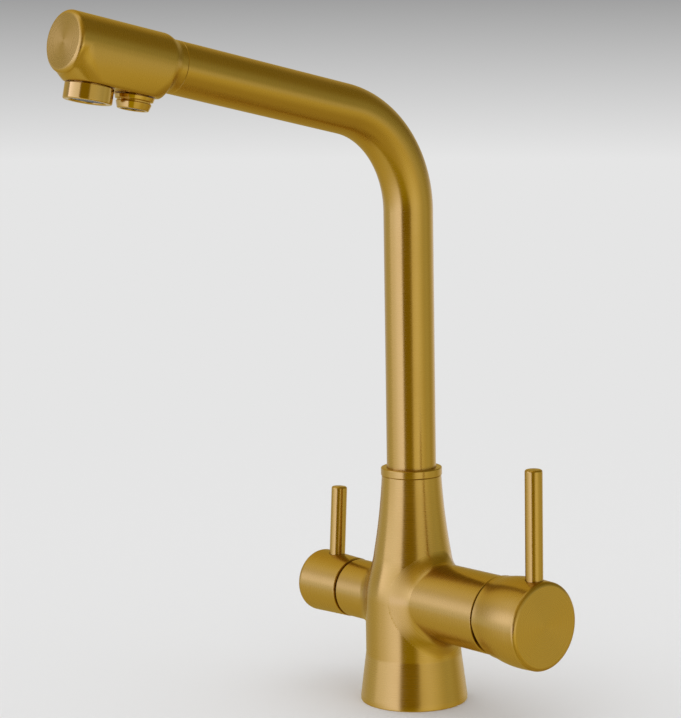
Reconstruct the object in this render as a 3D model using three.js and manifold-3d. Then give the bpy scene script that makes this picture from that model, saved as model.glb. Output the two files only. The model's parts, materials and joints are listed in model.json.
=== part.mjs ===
// A three way filtered water tap in brushed brass, as the assembly of its real pieces.
//
// Millimetres, +Z up. The origin is the centre of the foot's underside, which stands on the
// worktop. At rest the spout reaches towards -Y, the mixer handle is on +X and the
// filtered-water handle is on -X.

import * as THREE from 'three';
import { mergeVertices } from 'three/addons/utils/BufferGeometryUtils.js';
import Module from 'manifold-3d';

const wasm = await Module();
wasm.setup();

// ---- Driving dimensions ---------------------------------------------------------------------

// Fits.
const clearance = 0.3; // gap between pieces that seat on each other
const seamGap = 1.4; // gap between a branch and the handle that turns on it
const edge = 0.5; // chamfer on turned rims
const discEdge = 2.2; // softer edge round the end discs of the head and the mixer handle

// Body casting: foot, column and the heights of its two branches.
const footRadius = 26.4;
const footRim = 2; // height of the straight rim round the foot
const flareHeight = 24; // height at which the foot's flare has died out
const waistRadius = 23.6;
const mixerHeight = 52.2; // axis of the mixer branch
const filterDrop = 3.4; // the filtered-water branch is this much lower
const shoulderHeight = 21.8; // from the mixer axis up to the foot of the cone
const coneHeight = 38.8;
const coneBaseRadius = 19.1;
const bodyTopRadius = 14.7;
const coneHollow = 0.6; // how far the cone's side dips inside a straight line

// Body underside: inlets, fixing studs and gasket.
const inletRadius = 4.6; // M10x1 hose thread, drilled size
const inletDepth = 18;
const inletCircle = 13; // distance of the inlets from the column's axis
const inletSpread = 46; // degrees from +X to the hot and the cold inlet
const studRadius = 3.4; // M8 stud thread, drilled size
const studDepth = 20;
const studCircle = 15.4;
const studBearing = 105; // degrees from +X to either stud
const gasketRadius = 22.2; // middle of the gasket under the foot
const gasketWidth = 3.4;
const gasketDepth = 1.6;

// Branches.
const mixerReach = 60; // column's axis to the end of the mixer branch
const mixerBranchRadius = 18.9;
const filterReach = 42;
const filterBranchRadius = 14.6;
const filletAbove = 6; // root fillet above a branch
const filletBelow = 9;
const filletBeside = 5;

// Waterways drilled in the casting.
const waterwayRadius = 2.8;

// Mixer cartridge.
const cartridgeRadius = 14;
const cartridgeWall = 2.3;
const cartridgeDepth = 33; // branch end to the floor of its bore
const nutDepth = 10; // depth of the wider thread for the retaining nut
const nutWall = 2.7; // wall of the branch round the nut's thread
const sealThickness = 1.2;
const portCircle = 6.4;
const portRadius = 2.4;
const discThickness = 3;
const carrierLength = 8.6;
const stemHalf = 3; // half the width of the square stem
const pivotDepth = 14; // branch end to the pivot of the stem
const tiltRange = 14; // degrees that the mixer handle lifts to open

// Mixer handle.
const hubLength = 29.6;
const hubRimRadius = 19.7;
const hubSwell = 22.3; // the hub's outline is drawn out towards this radius, without reaching it
const hubEndRadius = 21.2;
const hubCavity = 11.6; // depth of the hollow behind the hub's rim
const hubWall = 3;
const hubBossRadius = 8.4; // boss inside that hollow, round the stem
const leverRadius = 4.2;
const leverInset = 7.1; // axis of the lever to the hub's end face
const leverTenonLength = 9;
const leverTop = 73.6; // top of the lever above the mixer axis

// Filtered-water valve and handle.
const valveRadius = 10.3; // G1/2 thread
const valveLength = 22; // threaded barrel of the valve
const valveHexFlats = 17;
const valveHexLength = 3.6;
const spindleRadius = 4;
const spindleReach = 14; // spindle beyond the hexagon
const knobRimRadius = 14.9;
const knobRadius = 15.8; // at the outer end
const knobLength = 28.4;
const knobWall = 2.6;
const knobRound = 3.6; // rounding of the knob's outer end
const knobLeverRadius = 4;
const knobLeverAt = 14.8; // axis of the lever from the knob's inner rim
const knobLeverTop = 49.9; // top of the lever above the filter axis
const quarterTurnWall = 3;
const handleLean = 3.5; // degrees that the closed handle stands back from upright

// Spout.
const tubeRadius = 12.1;
const tubeWall = 1.5;
const riserHeight = 129.6; // top of the body to the start of the bend
const bendRadius = 52; // to the tube's axis
const armRise = 12; // degrees that the arm climbs above level
const spoutReach = 198; // column's axis to the centre of the end disc, level
const swivelDepth = 38.6; // shank inside the body
const shankSealRise = 8; // from the shank's lower end to an O-ring, and on to the next
const shankSpigot = 12; // shank inside the tube
const swivelScrewDrop = 8.5; // retaining screw below the top of the body
const collarHeight = 3.5;
const collarProud = 0.35;
const slipRingThickness = 1.2;
const shankFlange = 1.2; // thickness of the shank's flange, which rides on the slip ring
const hoseRadius = 4; // inner hose for filtered water
const hoseWall = 1.25;

// Spout head with the two outlets.
const headLength = 56.6;
const headRadius = 13.8;
const headNeck = 2.2; // neck of the tube's diameter behind the head
const headSpigot = 12; // head inside the tube
const headWall = 5.3; // round the head's cavity
const outletFace = 16.2; // arm's axis to the flat face that holds the outlets
const aeratorAt = 16.8; // end disc to the aerator's axis
const aeratorRadius = 10.8;
const aeratorDrop = 7; // visible height of the aerator
const nozzleAt = 41; // end disc to the filtered-water nozzle's axis
const nozzleRadius = 9;
const nozzleTipRadius = 7;
const nozzleDrop = 6;
const aeratorThreadDepth = 7.2;
const nozzleThreadDepth = 6;
const barbLength = 14; // nozzle's barb inside the inner hose

// ---- Derived dimensions -----------------------------------------------------------------------

const filterHeight = mixerHeight - filterDrop;
const coneStart = mixerHeight + shoulderHeight;
const bodyHeight = coneStart + coneHeight;
const tubeBore = tubeRadius - tubeWall;
const shankRadius = tubeBore;
const socketRadius = shankRadius + 0.5;
const shankBottom = bodyHeight - swivelDepth;
const socketFloor = shankBottom - 1.5;
const collarRadius = bodyTopRadius + collarProud;
const armAngle = THREE.MathUtils.degToRad(armRise);
const tiltAngle = THREE.MathUtils.degToRad(tiltRange);

// ---- Materials --------------------------------------------------------------------------------

function finish(color, metalness, roughness) {
  return new THREE.MeshStandardMaterial({ color, metalness, roughness });
}

const brushedBrass = finish('#b08c46', 1, 0.34);
const polishedBrass = finish('#b8924a', 1, 0.16);
const rawBrass = finish('#b59a5a', 1, 0.4);
const stainless = finish('#b9bcc0', 1, 0.3);
const rubber = finish('#1d1d1f', 0, 0.75);
const ceramic = finish('#eceae2', 0, 0.25);
const acetal = finish('#e4e2dc', 0, 0.45);
const greyPlastic = finish('#85878a', 0, 0.5);
const hosePlastic = finish('#d8dde0', 0, 0.4);

// ---- Shape helpers ----------------------------------------------------------------------------

// Number of sides that keeps a round of this radius smooth.
function sidesFor(radius) {
  return Math.max(8, 4 * Math.round(radius * 0.28 + 1));
}

function signedVolume(position, triangles) {
  const a = new THREE.Vector3();
  const b = new THREE.Vector3();
  const c = new THREE.Vector3();
  let volume = 0;
  for (const [i, j, k] of triangles) {
    a.fromArray(position, 3 * i);
    b.fromArray(position, 3 * j);
    c.fromArray(position, 3 * k);
    volume += a.dot(b.cross(c)) / 6;
  }
  return volume;
}

// Closed geometry to a solid that joins and cuts, its faces pointing out.
function solid(geometry) {
  const bare = geometry.clone();
  bare.deleteAttribute('normal');
  bare.deleteAttribute('uv');
  const merged = mergeVertices(bare, 1e-4);
  const position = merged.attributes.position.array;
  const index = merged.index.array;
  const triangles = [];
  for (let i = 0; i < index.length; i += 3) {
    const [a, b, c] = [index[i], index[i + 1], index[i + 2]];
    if (a !== b && b !== c && c !== a) triangles.push([a, b, c]);
  }
  const inward = signedVolume(position, triangles) < 0;
  const faces = triangles.map(([a, b, c]) => (inward ? [a, c, b] : [a, b, c]));
  return new wasm.Manifold(new wasm.Mesh({
    numProp: 3,
    vertProperties: Float32Array.from(position),
    triVerts: Uint32Array.from(faces.flat()),
  }));
}

function join(...shapes) {
  return shapes.map(asSolid).reduce((whole, shape) => whole.add(shape));
}

function cut(shape, ...tools) {
  return tools.map(asSolid).reduce((rest, tool) => rest.subtract(tool), asSolid(shape));
}

function asSolid(shape) {
  return shape instanceof THREE.BufferGeometry ? solid(shape) : shape;
}

function toGeometry(shape) {
  const mesh = asSolid(shape).getMesh();
  const geometry = new THREE.BufferGeometry();
  geometry.setAttribute('position', new THREE.BufferAttribute(mesh.vertProperties, 3));
  geometry.setIndex(new THREE.BufferAttribute(mesh.triVerts, 1));
  const faceted = geometry.toNonIndexed();
  faceted.computeVertexNormals();
  return faceted;
}

// Revolves [radius, height] points about Y. A profile that starts off the axis closes on itself.
function revolveY(profile, sides) {
  const points = profile.map(([radius, height]) => new THREE.Vector2(radius, height));
  if (profile[0][0] > 0) points.push(points[0].clone());
  const widest = Math.max(...profile.map(([radius]) => radius));
  return new THREE.LatheGeometry(points, sides ?? sidesFor(widest));
}

function revolve(profile, sides) {
  return revolveY(profile, sides).rotateX(Math.PI / 2);
}

function rod(radius, from, to, sides) {
  return revolve([[0, from], [radius, from], [radius, to], [0, to]], sides);
}

function rodY(radius, from, to, sides) {
  return revolveY([[0, from], [radius, from], [radius, to], [0, to]], sides);
}

function rodX(radius, from, to, sides) {
  return rod(radius, from, to, sides).rotateY(Math.PI / 2);
}

// A rod with chamfered ends.
function pin(radius, from, to, chamfer) {
  return revolve([
    [0, from], [radius - chamfer, from], [radius, from + chamfer],
    [radius, to - chamfer], [radius - chamfer, to], [0, to],
  ]);
}

function ringOf(inner, outer, from, to) {
  return revolve([[inner, from], [outer, from], [outer, to], [inner, to]]);
}

function box(x, y, z) {
  return new THREE.BoxGeometry(x[1] - x[0], y[1] - y[0], z[1] - z[0])
    .translate((x[0] + x[1]) / 2, (y[0] + y[1]) / 2, (z[0] + z[1]) / 2);
}

function oRing(ringRadius, sectionRadius, height) {
  return new THREE.TorusGeometry(ringRadius, sectionRadius, 5, 12).translate(0, 0, height);
}

// The four corners of a groove in a turned profile that runs upwards.
function groove(outer, bottom, middle, width) {
  const [low, high] = [middle - width / 2, middle + width / 2];
  return [[outer, low], [bottom, low], [bottom, high], [outer, high]];
}

// Closed surface through a row of rings that hold the same number of points.
function loft(rings) {
  const count = rings[0].length;
  const centre = (ring) => ring.reduce((sum, p) => sum.add(p), new THREE.Vector3())
    .divideScalar(count);
  const points = [...rings.flat(), centre(rings[0]), centre(rings.at(-1))];
  const [startCentre, endCentre] = [points.length - 2, points.length - 1];
  const index = [];
  rings.slice(1).forEach((_, row) => {
    for (let i = 0; i < count; i += 1) {
      const j = (i + 1) % count;
      const [a, b] = [row * count + i, row * count + j];
      index.push(a, b, b + count, a, b + count, a + count);
    }
  });
  const last = (rings.length - 1) * count;
  for (let i = 0; i < count; i += 1) {
    const j = (i + 1) % count;
    index.push(j, i, startCentre, last + i, last + j, endCentre);
  }
  const geometry = new THREE.BufferGeometry().setFromPoints(points);
  geometry.setIndex(index);
  return geometry;
}

// A round bar along stations of a path that stays in the plane of Y and Z.
function sweep(stations, radius, sides) {
  const sideways = new THREE.Vector3(1, 0, 0);
  return loft(stations.map(({ point, direction }) => {
    const across = new THREE.Vector3().crossVectors(sideways, direction).normalize();
    return Array.from({ length: sides }, (_, i) => {
      const turn = (2 * Math.PI * i) / sides;
      return point.clone()
        .addScaledVector(sideways, radius * Math.cos(turn))
        .addScaledVector(across, radius * Math.sin(turn));
    });
  }));
}

// A socket set screw along +Z, its hexagon at the outer end.
function grubScrew(radius, length) {
  const hexagon = new THREE.CylinderGeometry(radius * 0.55, radius * 0.55, length * 0.8, 6)
    .rotateX(Math.PI / 2)
    .translate(0, 0, length);
  return cut(pin(radius, 0, length, 0.3), hexagon);
}

// ---- Frames -----------------------------------------------------------------------------------

// A branch's frame has +Z out along the branch from the column's axis, and +X up.
const tap = new THREE.Group();
const mixerFrame = new THREE.Group();
mixerFrame.position.z = mixerHeight;
mixerFrame.rotation.set(0, Math.PI / 2, Math.PI);
const filterFrame = new THREE.Group();
filterFrame.position.z = filterHeight;
filterFrame.rotation.y = -Math.PI / 2;
const filterHandle = new THREE.Group();
filterHandle.rotation.z = THREE.MathUtils.degToRad(handleLean);
filterFrame.add(filterHandle);

// The head's frame starts at the centre of its end disc: +Z back along the arm, +Y the way the
// outlets point.
const bendTurn = Math.PI / 2 - armAngle;
const bendStart = bodyHeight + riserHeight;
const bendEnd = new THREE.Vector3(
  0,
  -bendRadius * (1 - Math.cos(bendTurn)),
  bendStart + bendRadius * Math.sin(bendTurn),
);
const armDirection = new THREE.Vector3(0, -Math.cos(armAngle), Math.sin(armAngle));
const armLength = (spoutReach + bendEnd.y) / Math.cos(armAngle);
const headFrame = new THREE.Group();
headFrame.position.copy(bendEnd).addScaledVector(armDirection, armLength);
headFrame.rotation.x = -(Math.PI / 2 + armAngle);
tap.add(mixerFrame, filterFrame, headFrame);

function inFrame(frame, geometry) {
  frame.updateMatrix();
  return geometry.clone().applyMatrix4(frame.matrix);
}

function add(frame, name, material, shape) {
  const mesh = new THREE.Mesh(toGeometry(shape), material);
  mesh.name = name;
  frame.add(mesh);
  return mesh;
}

// ---- Body casting -----------------------------------------------------------------------------

// Half outline of the column, foot to top.
function columnOutline() {
  const taper = (coneBaseRadius - bodyTopRadius) / coneHeight;
  const lead = 8;
  const outline = new THREE.Path();
  outline.moveTo(footRadius - edge, 0);
  outline.lineTo(footRadius, edge);
  outline.lineTo(footRadius, footRim);
  outline.quadraticCurveTo(
    (footRadius + waistRadius) / 2, flareHeight * 0.55, waistRadius, flareHeight,
  );
  outline.lineTo(waistRadius, mixerHeight - edge);
  outline.bezierCurveTo(
    waistRadius, mixerHeight + lead,
    coneBaseRadius + taper * lead, coneStart - lead,
    coneBaseRadius, coneStart,
  );
  outline.quadraticCurveTo(
    (coneBaseRadius + bodyTopRadius) / 2 - 2 * coneHollow, coneStart + coneHeight / 2,
    bodyTopRadius, bodyHeight - edge,
  );
  outline.lineTo(bodyTopRadius - edge, bodyHeight);
  return outline.getPoints(4);
}

const column = columnOutline();

function columnRadius(height) {
  const above = column.findIndex((point) => point.y >= height);
  const [low, high] = [column[Math.max(above - 1, 0)], column[Math.max(above, 1)]];
  return low.x + ((high.x - low.x) * (height - low.y)) / (high.y - low.y);
}

// A barrel that grows out of the column: its root flares into the column's surface along a
// quarter-circle fillet, widest below and narrowest beside.
function branchBarrel(height, radius, reach) {
  const sides = 4 * Math.round(radius * 0.42);
  const beside = Math.min(filletBeside, waistRadius * 0.96 - radius);
  const buried = 3;
  const steps = 3;
  const around = (place) => Array.from({ length: sides }, (_, i) => {
    const angle = (2 * Math.PI * i) / sides;
    const furthest = Math.cos(angle) > 0 ? filletAbove : filletBelow;
    const fillet = beside + (furthest - beside) * Math.cos(angle) ** 2;
    return place(angle, fillet);
  });
  const at = (angle, distance, along) => new THREE.Vector3(
    distance * Math.cos(angle), distance * Math.sin(angle), along,
  );
  const surface = (angle, distance) => {
    const wall = columnRadius(height + distance * Math.cos(angle));
    return Math.sqrt(wall ** 2 - (distance * Math.sin(angle)) ** 2);
  };
  const rings = [around((angle, fillet) => {
    const distance = radius + fillet;
    return at(angle, distance, surface(angle, distance) - buried);
  })];
  for (let step = 0; step <= steps; step += 1) {
    const turn = (Math.PI / 2) * (1 - step / steps);
    const sink = step === 0 ? 0.1 : 0;
    rings.push(around((angle, fillet) => {
      const distance = radius + fillet * (1 - Math.cos(turn));
      const rise = fillet * (1 - Math.sin(turn)) - sink;
      return at(angle, distance, surface(angle, distance) + rise);
    }));
  }
  rings.push(around((angle) => at(angle, radius, reach - edge)));
  rings.push(around((angle) => at(angle, radius - edge, reach)));
  return loft(rings);
}

// Bore of the mixer branch: cartridge seat and the wider thread of its nut.
const cartridgeBore = cartridgeRadius + clearance;
const cartridgeFloor = mixerReach - cartridgeDepth;
const nutStep = mixerReach - nutDepth;
const nutBore = mixerBranchRadius - nutWall;
const portBearings = [0, 120, 240].map(THREE.MathUtils.degToRad);
const ports = portBearings.map((bearing) => [
  portCircle * Math.cos(bearing), portCircle * Math.sin(bearing),
]);

// Bore of the filtered-water branch.
const valveBore = valveRadius + clearance;
const valveTop = filterReach - clearance; // where the hexagon's flange rests
const valveInner = valveTop - valveLength;
const valveFloor = valveInner - sealThickness - 2 * clearance;

// Bores for the spout's shank and for the inner hose below it.
const hoseSeal = 0.7; // section radius of the hose's O-ring
const hoseBore = hoseRadius + 0.6;
const hoseSeatRadius = hoseRadius + 2 * hoseSeal + 2 * clearance;
const hoseSeatDepth = 2 * hoseSeal + 2 * clearance;
const hoseFloor = mixerHeight + 3;

// The spout's retaining screw.
const swivelScrewHeight = bodyHeight - swivelScrewDrop;
const swivelScrewRadius = 2;
const swivelGroove = shankRadius - 1.7;

const inletBearing = THREE.MathUtils.degToRad(inletSpread);
const inletX = inletCircle * Math.cos(inletBearing);
const inletY = inletCircle * Math.sin(inletBearing);

function mixerBores() {
  const waterways = ports.map(([x, y]) => (
    rod(waterwayRadius, inletX - waterwayRadius, cartridgeFloor + 1, 8).translate(x, y, 0)
  ));
  return [
    rod(cartridgeBore, cartridgeFloor, mixerReach + 1),
    rod(nutBore, nutStep, mixerReach + 1),
    ...waterways,
  ].map((bore) => inFrame(mixerFrame, bore));
}

function filterBores() {
  const supply = rod(waterwayRadius, inletCircle - waterwayRadius, valveFloor + 1, 8);
  const delivery = rod(2.2, 0, valveFloor + 4, 8)
    .translate(valveBore - 2.4, 0, 0);
  return [
    rod(valveBore, valveFloor, filterReach + 1),
    supply,
    delivery,
  ].map((bore) => inFrame(filterFrame, bore));
}

function supplyBores() {
  const inlet = (x, y) => rod(inletRadius, -1, inletDepth, 14).translate(x, y, 0);
  const riser = (x, y, from, to) => rod(waterwayRadius, from, to, 8).translate(x, y, 0);
  const stud = (side) => {
    const bearing = THREE.MathUtils.degToRad(studBearing * side);
    return rod(studRadius, -1, studDepth, 10)
      .translate(studCircle * Math.cos(bearing), studCircle * Math.sin(bearing), 0);
  };
  const [outlet, supply] = ports;
  const supplyTop = mixerHeight + supply[0] + waterwayRadius;
  const supplyY = Math.abs(supply[1]) + 1;
  const outletBottom = mixerHeight + outlet[0] - waterwayRadius;
  return [
    inlet(inletX, inletY), inlet(inletX, -inletY), inlet(-inletCircle, 0),
    riser(inletX, supplyY, inletDepth - 1, supplyTop),
    riser(inletX, -supplyY, inletDepth - 1, supplyTop),
    riser(-inletCircle, 0, inletDepth - 1, filterHeight + waterwayRadius),
    riser(inletX, 0, outletBottom, socketFloor + 1),
    stud(1), stud(-1),
  ];
}

function spoutBores() {
  const screwHole = rod(swivelScrewRadius + clearance, socketRadius - 1, footRadius, 12)
    .rotateX(-Math.PI / 2)
    .translate(0, 0, swivelScrewHeight);
  return [
    rod(socketRadius, socketFloor, bodyHeight + 1),
    rod(hoseSeatRadius, socketFloor - hoseSeatDepth, socketFloor + 1, 16),
    rod(hoseBore, hoseFloor, socketFloor, 12),
    screwHole,
  ];
}

function bodyCasting() {
  const profile = [[0, 0], ...column.map((p) => [p.x, p.y]), [0, bodyHeight]];
  const outside = join(
    revolve(profile, 32),
    inFrame(mixerFrame, branchBarrel(mixerHeight, mixerBranchRadius, mixerReach)),
    inFrame(filterFrame, branchBarrel(filterHeight, filterBranchRadius, filterReach)),
  );
  const gasketSeat = ringOf(
    gasketRadius - gasketWidth / 2 - clearance, gasketRadius + gasketWidth / 2 + clearance,
    -1, gasketDepth + clearance,
  );
  return cut(
    outside, gasketSeat, ...mixerBores(), ...filterBores(), ...supplyBores(), ...spoutBores(),
  );
}

add(tap, 'body_casting', brushedBrass, bodyCasting());
add(tap, 'base_gasket', rubber, ringOf(
  gasketRadius - gasketWidth / 2, gasketRadius + gasketWidth / 2, 0, gasketDepth,
));

// ---- Spout swivel -----------------------------------------------------------------------------

const slipRingTop = bodyHeight + clearance + slipRingThickness;
const flangeBottom = slipRingTop + clearance;
const flangeTop = flangeBottom + shankFlange;
const collarBore = tubeRadius + 0.4;
const shankBore = hoseRadius + 2.6;
const spigotRadius = tubeBore - clearance;
const spigotTop = flangeTop + shankSpigot;
const shankSeal = 1; // section radius of the shank's O-rings
const shankSealRing = socketRadius - clearance - shankSeal;
const shankSealGroove = shankSealRing - shankSeal - clearance;
const shankSealWidth = 2 * shankSeal + 2 * clearance;
const shankSealHeights = [shankBottom + shankSealRise, shankBottom + 2 * shankSealRise];
const screwGrooveWidth = 2 * swivelScrewRadius + 2 * clearance;

function spoutShank() {
  return revolve([
    [shankBore, shankBottom],
    [shankRadius - edge, shankBottom],
    [shankRadius, shankBottom + edge],
    ...groove(shankRadius, shankSealGroove, shankSealHeights[0], shankSealWidth),
    ...groove(shankRadius, shankSealGroove, shankSealHeights[1], shankSealWidth),
    ...groove(shankRadius, swivelGroove, swivelScrewHeight, screwGrooveWidth),
    [shankRadius, flangeBottom],
    [tubeRadius, flangeBottom],
    [tubeRadius, flangeTop],
    [spigotRadius, flangeTop],
    [spigotRadius, spigotTop],
    [shankBore, spigotTop],
  ], 16);
}

function collarRing() {
  const bottom = bodyHeight + clearance;
  const top = bottom + collarHeight;
  return revolve([
    [collarBore, bottom],
    [collarRadius - edge, bottom],
    [collarRadius, bottom + edge],
    [collarRadius, top - edge],
    [collarRadius - edge, top],
    [collarBore, top],
  ], 24);
}

function swivelScrew() {
  const from = swivelGroove + clearance;
  const length = columnRadius(swivelScrewHeight) - edge - from;
  return toGeometry(grubScrew(swivelScrewRadius, length))
    .translate(0, 0, from)
    .rotateX(-Math.PI / 2)
    .translate(0, 0, swivelScrewHeight);
}

add(tap, 'collar_ring', brushedBrass, collarRing());
add(tap, 'slip_ring', acetal, ringOf(
  shankRadius + 0.4, collarBore - clearance, bodyHeight + clearance, slipRingTop,
));
add(tap, 'swivel_screw', stainless, swivelScrew());
add(tap, 'spout_shank', rawBrass, spoutShank());
shankSealHeights.forEach((height, i) => {
  add(tap, `shank_oring_${i + 1}`, rubber, oRing(shankSealRing, shankSeal, height));
});

// ---- Spout tube and inner hose ----------------------------------------------------------------

// Stations along the spout's axis, from a height on the riser to a distance along the arm.
function spoutStations(from, armDistance) {
  const up = new THREE.Vector3(0, 0, 1);
  const bendSteps = 10;
  const stations = [{ point: new THREE.Vector3(0, 0, from), direction: up }];
  for (let step = 0; step <= bendSteps; step += 1) {
    const turn = (bendTurn * step) / bendSteps;
    stations.push({
      point: new THREE.Vector3(
        0, -bendRadius * (1 - Math.cos(turn)), bendStart + bendRadius * Math.sin(turn),
      ),
      direction: new THREE.Vector3(0, -Math.sin(turn), Math.cos(turn)),
    });
  }
  stations.push({
    point: bendEnd.clone().addScaledVector(armDirection, armDistance),
    direction: armDirection,
  });
  return stations;
}

const tubeStart = flangeTop + clearance;
const tubeEnd = armLength - headLength - headNeck - clearance;

function spoutTube() {
  return cut(
    sweep(spoutStations(tubeStart, tubeEnd), tubeRadius, 24),
    sweep(spoutStations(tubeStart - 1, tubeEnd + 1), tubeBore, 14),
  );
}

const hoseStart = hoseFloor + clearance;
const nozzleStem = 4.4; // radius of the nozzle's stem inside the head
const hoseEnd = armLength - nozzleAt - nozzleStem - clearance;

function innerHose() {
  return cut(
    sweep(spoutStations(hoseStart, hoseEnd), hoseRadius, 10),
    sweep(spoutStations(hoseStart - 1, hoseEnd + 1), hoseRadius - hoseWall, 8),
  );
}

add(tap, 'spout_tube', brushedBrass, spoutTube());
add(tap, 'filter_hose', hosePlastic, innerHose());
add(tap, 'filter_hose_oring', rubber, oRing(
  hoseRadius + clearance + hoseSeal, hoseSeal,
  socketFloor - hoseSeatDepth + clearance + hoseSeal,
));

// ---- Spout head -------------------------------------------------------------------------------

const cavityRadius = headRadius - headWall;
const spigotStart = headLength + headNeck;
const spigotEnd = spigotStart + headSpigot;
const headSeal = 0.8; // section radius of the O-ring on the head's spigot
const headSealRing = spigotRadius - headSeal;
const headSealGroove = headSealRing - headSeal - clearance;
const headSealAt = spigotStart + headSpigot / 2;
const spigotBore = hoseRadius + 2.6;
const aeratorThread = aeratorRadius - 1.9;
const aeratorSeat = outletFace - aeratorThreadDepth;
const nozzleThread = 5;
const bossLean = 9; // how far the boss's ends lean outwards at the arm's axis

// Plan of the boss at a depth below the arm's axis: the outline round two circles, one over each
// outlet. It leaves the cylinder's sides upright, and draws in to the outlets from both ends.
function bossRing(depth) {
  const sides = 24;
  const drawn = (depth / outletFace) ** 2;
  const widest = headRadius - 0.2;
  const lean = bossLean * (1 - drawn);
  const front = {
    at: aeratorAt - lean,
    radius: widest + (aeratorRadius + 0.6 - widest) * drawn,
  };
  const back = {
    at: nozzleAt + lean,
    radius: widest + (nozzleRadius + 1.8 - widest) * drawn,
  };
  const spread = back.at - front.at;
  return Array.from({ length: sides }, (_, i) => {
    const angle = (2 * Math.PI * i) / sides;
    const along = Math.cos(angle);
    const reachFront = front.radius;
    const reachBack = back.radius + spread * along;
    const circle = reachBack > reachFront ? back : front;
    return new THREE.Vector3(
      circle.radius * Math.sin(angle), depth, circle.at + circle.radius * along,
    );
  });
}

function boss() {
  const rounding = 0.7;
  const levels = [0.12, 0.43, 0.62, 0.77, 1 - rounding / outletFace];
  const rings = levels.map((share) => bossRing(share * outletFace));
  const middle = (aeratorAt + nozzleAt) / 2;
  const rim = bossRing(outletFace).map((point) => new THREE.Vector3(
    point.x * (1 - rounding / aeratorRadius),
    point.y,
    middle + (point.z - middle) * (1 - rounding / (nozzleAt - aeratorAt)),
  ));
  const within = box([-2 * headRadius, 2 * headRadius], [0, outletFace], [discEdge, headLength]);
  return asSolid(loft([...rings, rim])).intersect(asSolid(within));
}

function outletHead() {
  const step = 1.1;
  const outside = revolve([
    [0, 0], [headRadius - discEdge, 0], [headRadius - 0.3 * discEdge, 0.3 * discEdge],
    [headRadius, discEdge],
    [headRadius, headLength - step],
    [headRadius - step * 0.3, headLength - step * 0.3],
    [tubeRadius, headLength],
    [tubeRadius, spigotStart],
    [spigotRadius, spigotStart],
    ...groove(spigotRadius, headSealGroove, headSealAt, 2 * headSeal + 2 * clearance),
    [spigotRadius, spigotEnd],
    [0, spigotEnd],
  ], 28);
  return cut(
    join(outside, boss()),
    rod(cavityRadius, headWall, spigotStart - headWall),
    rod(spigotBore, spigotStart - headWall - 1, spigotEnd + 1, 24),
    rodY(aeratorThread - 2.4, 0, aeratorSeat + 1).translate(0, 0, aeratorAt),
    rodY(aeratorThread + clearance, aeratorSeat, outletFace + 1).translate(0, 0, aeratorAt),
    rodY(nozzleThread + clearance, 0, outletFace + 1, 20).translate(0, 0, nozzleAt),
  );
}

const aeratorGasket = 1;
const aeratorTop = aeratorSeat + aeratorGasket + 2 * clearance;
const aeratorShoulder = outletFace + clearance;
const aeratorBottom = aeratorShoulder + aeratorDrop;
const aeratorBore = aeratorThread - 1;

function aeratorHousing() {
  return revolveY([
    [aeratorBore, aeratorTop],
    [aeratorThread, aeratorTop],
    [aeratorThread, aeratorShoulder],
    [aeratorRadius, aeratorShoulder],
    [aeratorRadius, aeratorBottom - edge],
    [aeratorRadius - edge, aeratorBottom],
    [aeratorBore + edge, aeratorBottom],
    [aeratorBore, aeratorBottom - edge],
  ], 24).translate(0, 0, aeratorAt);
}

// A cup with rings of holes in its floor, recessed in the housing.
function aeratorInsert() {
  const radius = aeratorBore - clearance;
  const floor = aeratorBottom - 1;
  const cup = revolveY([
    [0, floor - 1.2], [radius - 0.9, floor - 1.2], [radius - 0.9, aeratorTop + 0.5],
    [radius, aeratorTop + 0.5], [radius, floor], [0, floor],
  ]);
  const holes = [{ count: 4, circle: 0.34 }, { count: 8, circle: 0.7 }].flatMap(
    ({ count, circle }) => Array.from({ length: count }, (_, i) => {
      const turn = (2 * Math.PI * i) / count;
      return rodY(0.85, floor - 2, floor + 1, 6).translate(
        radius * circle * Math.cos(turn), 0, radius * circle * Math.sin(turn),
      );
    }),
  );
  return toGeometry(cut(cup, ...holes)).translate(0, 0, aeratorAt);
}

const nozzleFace = outletFace + clearance;
const nozzleTip = nozzleFace + nozzleDrop;
const nozzleMouth = nozzleTipRadius - 1.6;
const nozzlePlate = nozzleTip - 4.6; // inner end of the nozzle's wide mouth
const barbRadius = hoseRadius - hoseWall - clearance;
const barbWall = 1.05;

// Tapered nozzle with a groove, a threaded stem and a barb that carries the inner hose.
function filterNozzle() {
  const grooveTop = nozzleFace + nozzleDrop * 0.3;
  const grooveBottom = nozzleFace + nozzleDrop * 0.5;
  const grooveRadius = nozzleTipRadius + 0.6;
  const lower = (nozzleRadius + nozzleTipRadius) / 2;
  const outside = revolveY([
    [0, -nozzleStem],
    [nozzleStem, -nozzleStem],
    [nozzleStem, outletFace - nozzleThreadDepth],
    [nozzleThread, outletFace - nozzleThreadDepth],
    [nozzleThread, nozzleFace],
    [nozzleRadius, nozzleFace],
    [nozzleRadius - edge, grooveTop],
    [grooveRadius, grooveTop + 0.3],
    [grooveRadius, grooveBottom - 0.2],
    [lower, grooveBottom],
    [nozzleTipRadius, nozzleTip],
    [0, nozzleTip],
  ], 18).translate(0, 0, nozzleAt);
  const barb = rod(barbRadius, nozzleAt, nozzleAt + barbLength, 14);
  return cut(
    join(outside, barb),
    rodY(nozzleMouth, nozzlePlate, nozzleTip + 1, 20).translate(0, 0, nozzleAt),
    rodY(2, 0, nozzlePlate + 1, 12).translate(0, 0, nozzleAt),
    rod(barbRadius - barbWall, nozzleAt, nozzleAt + barbLength + 1, 10),
  );
}

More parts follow.
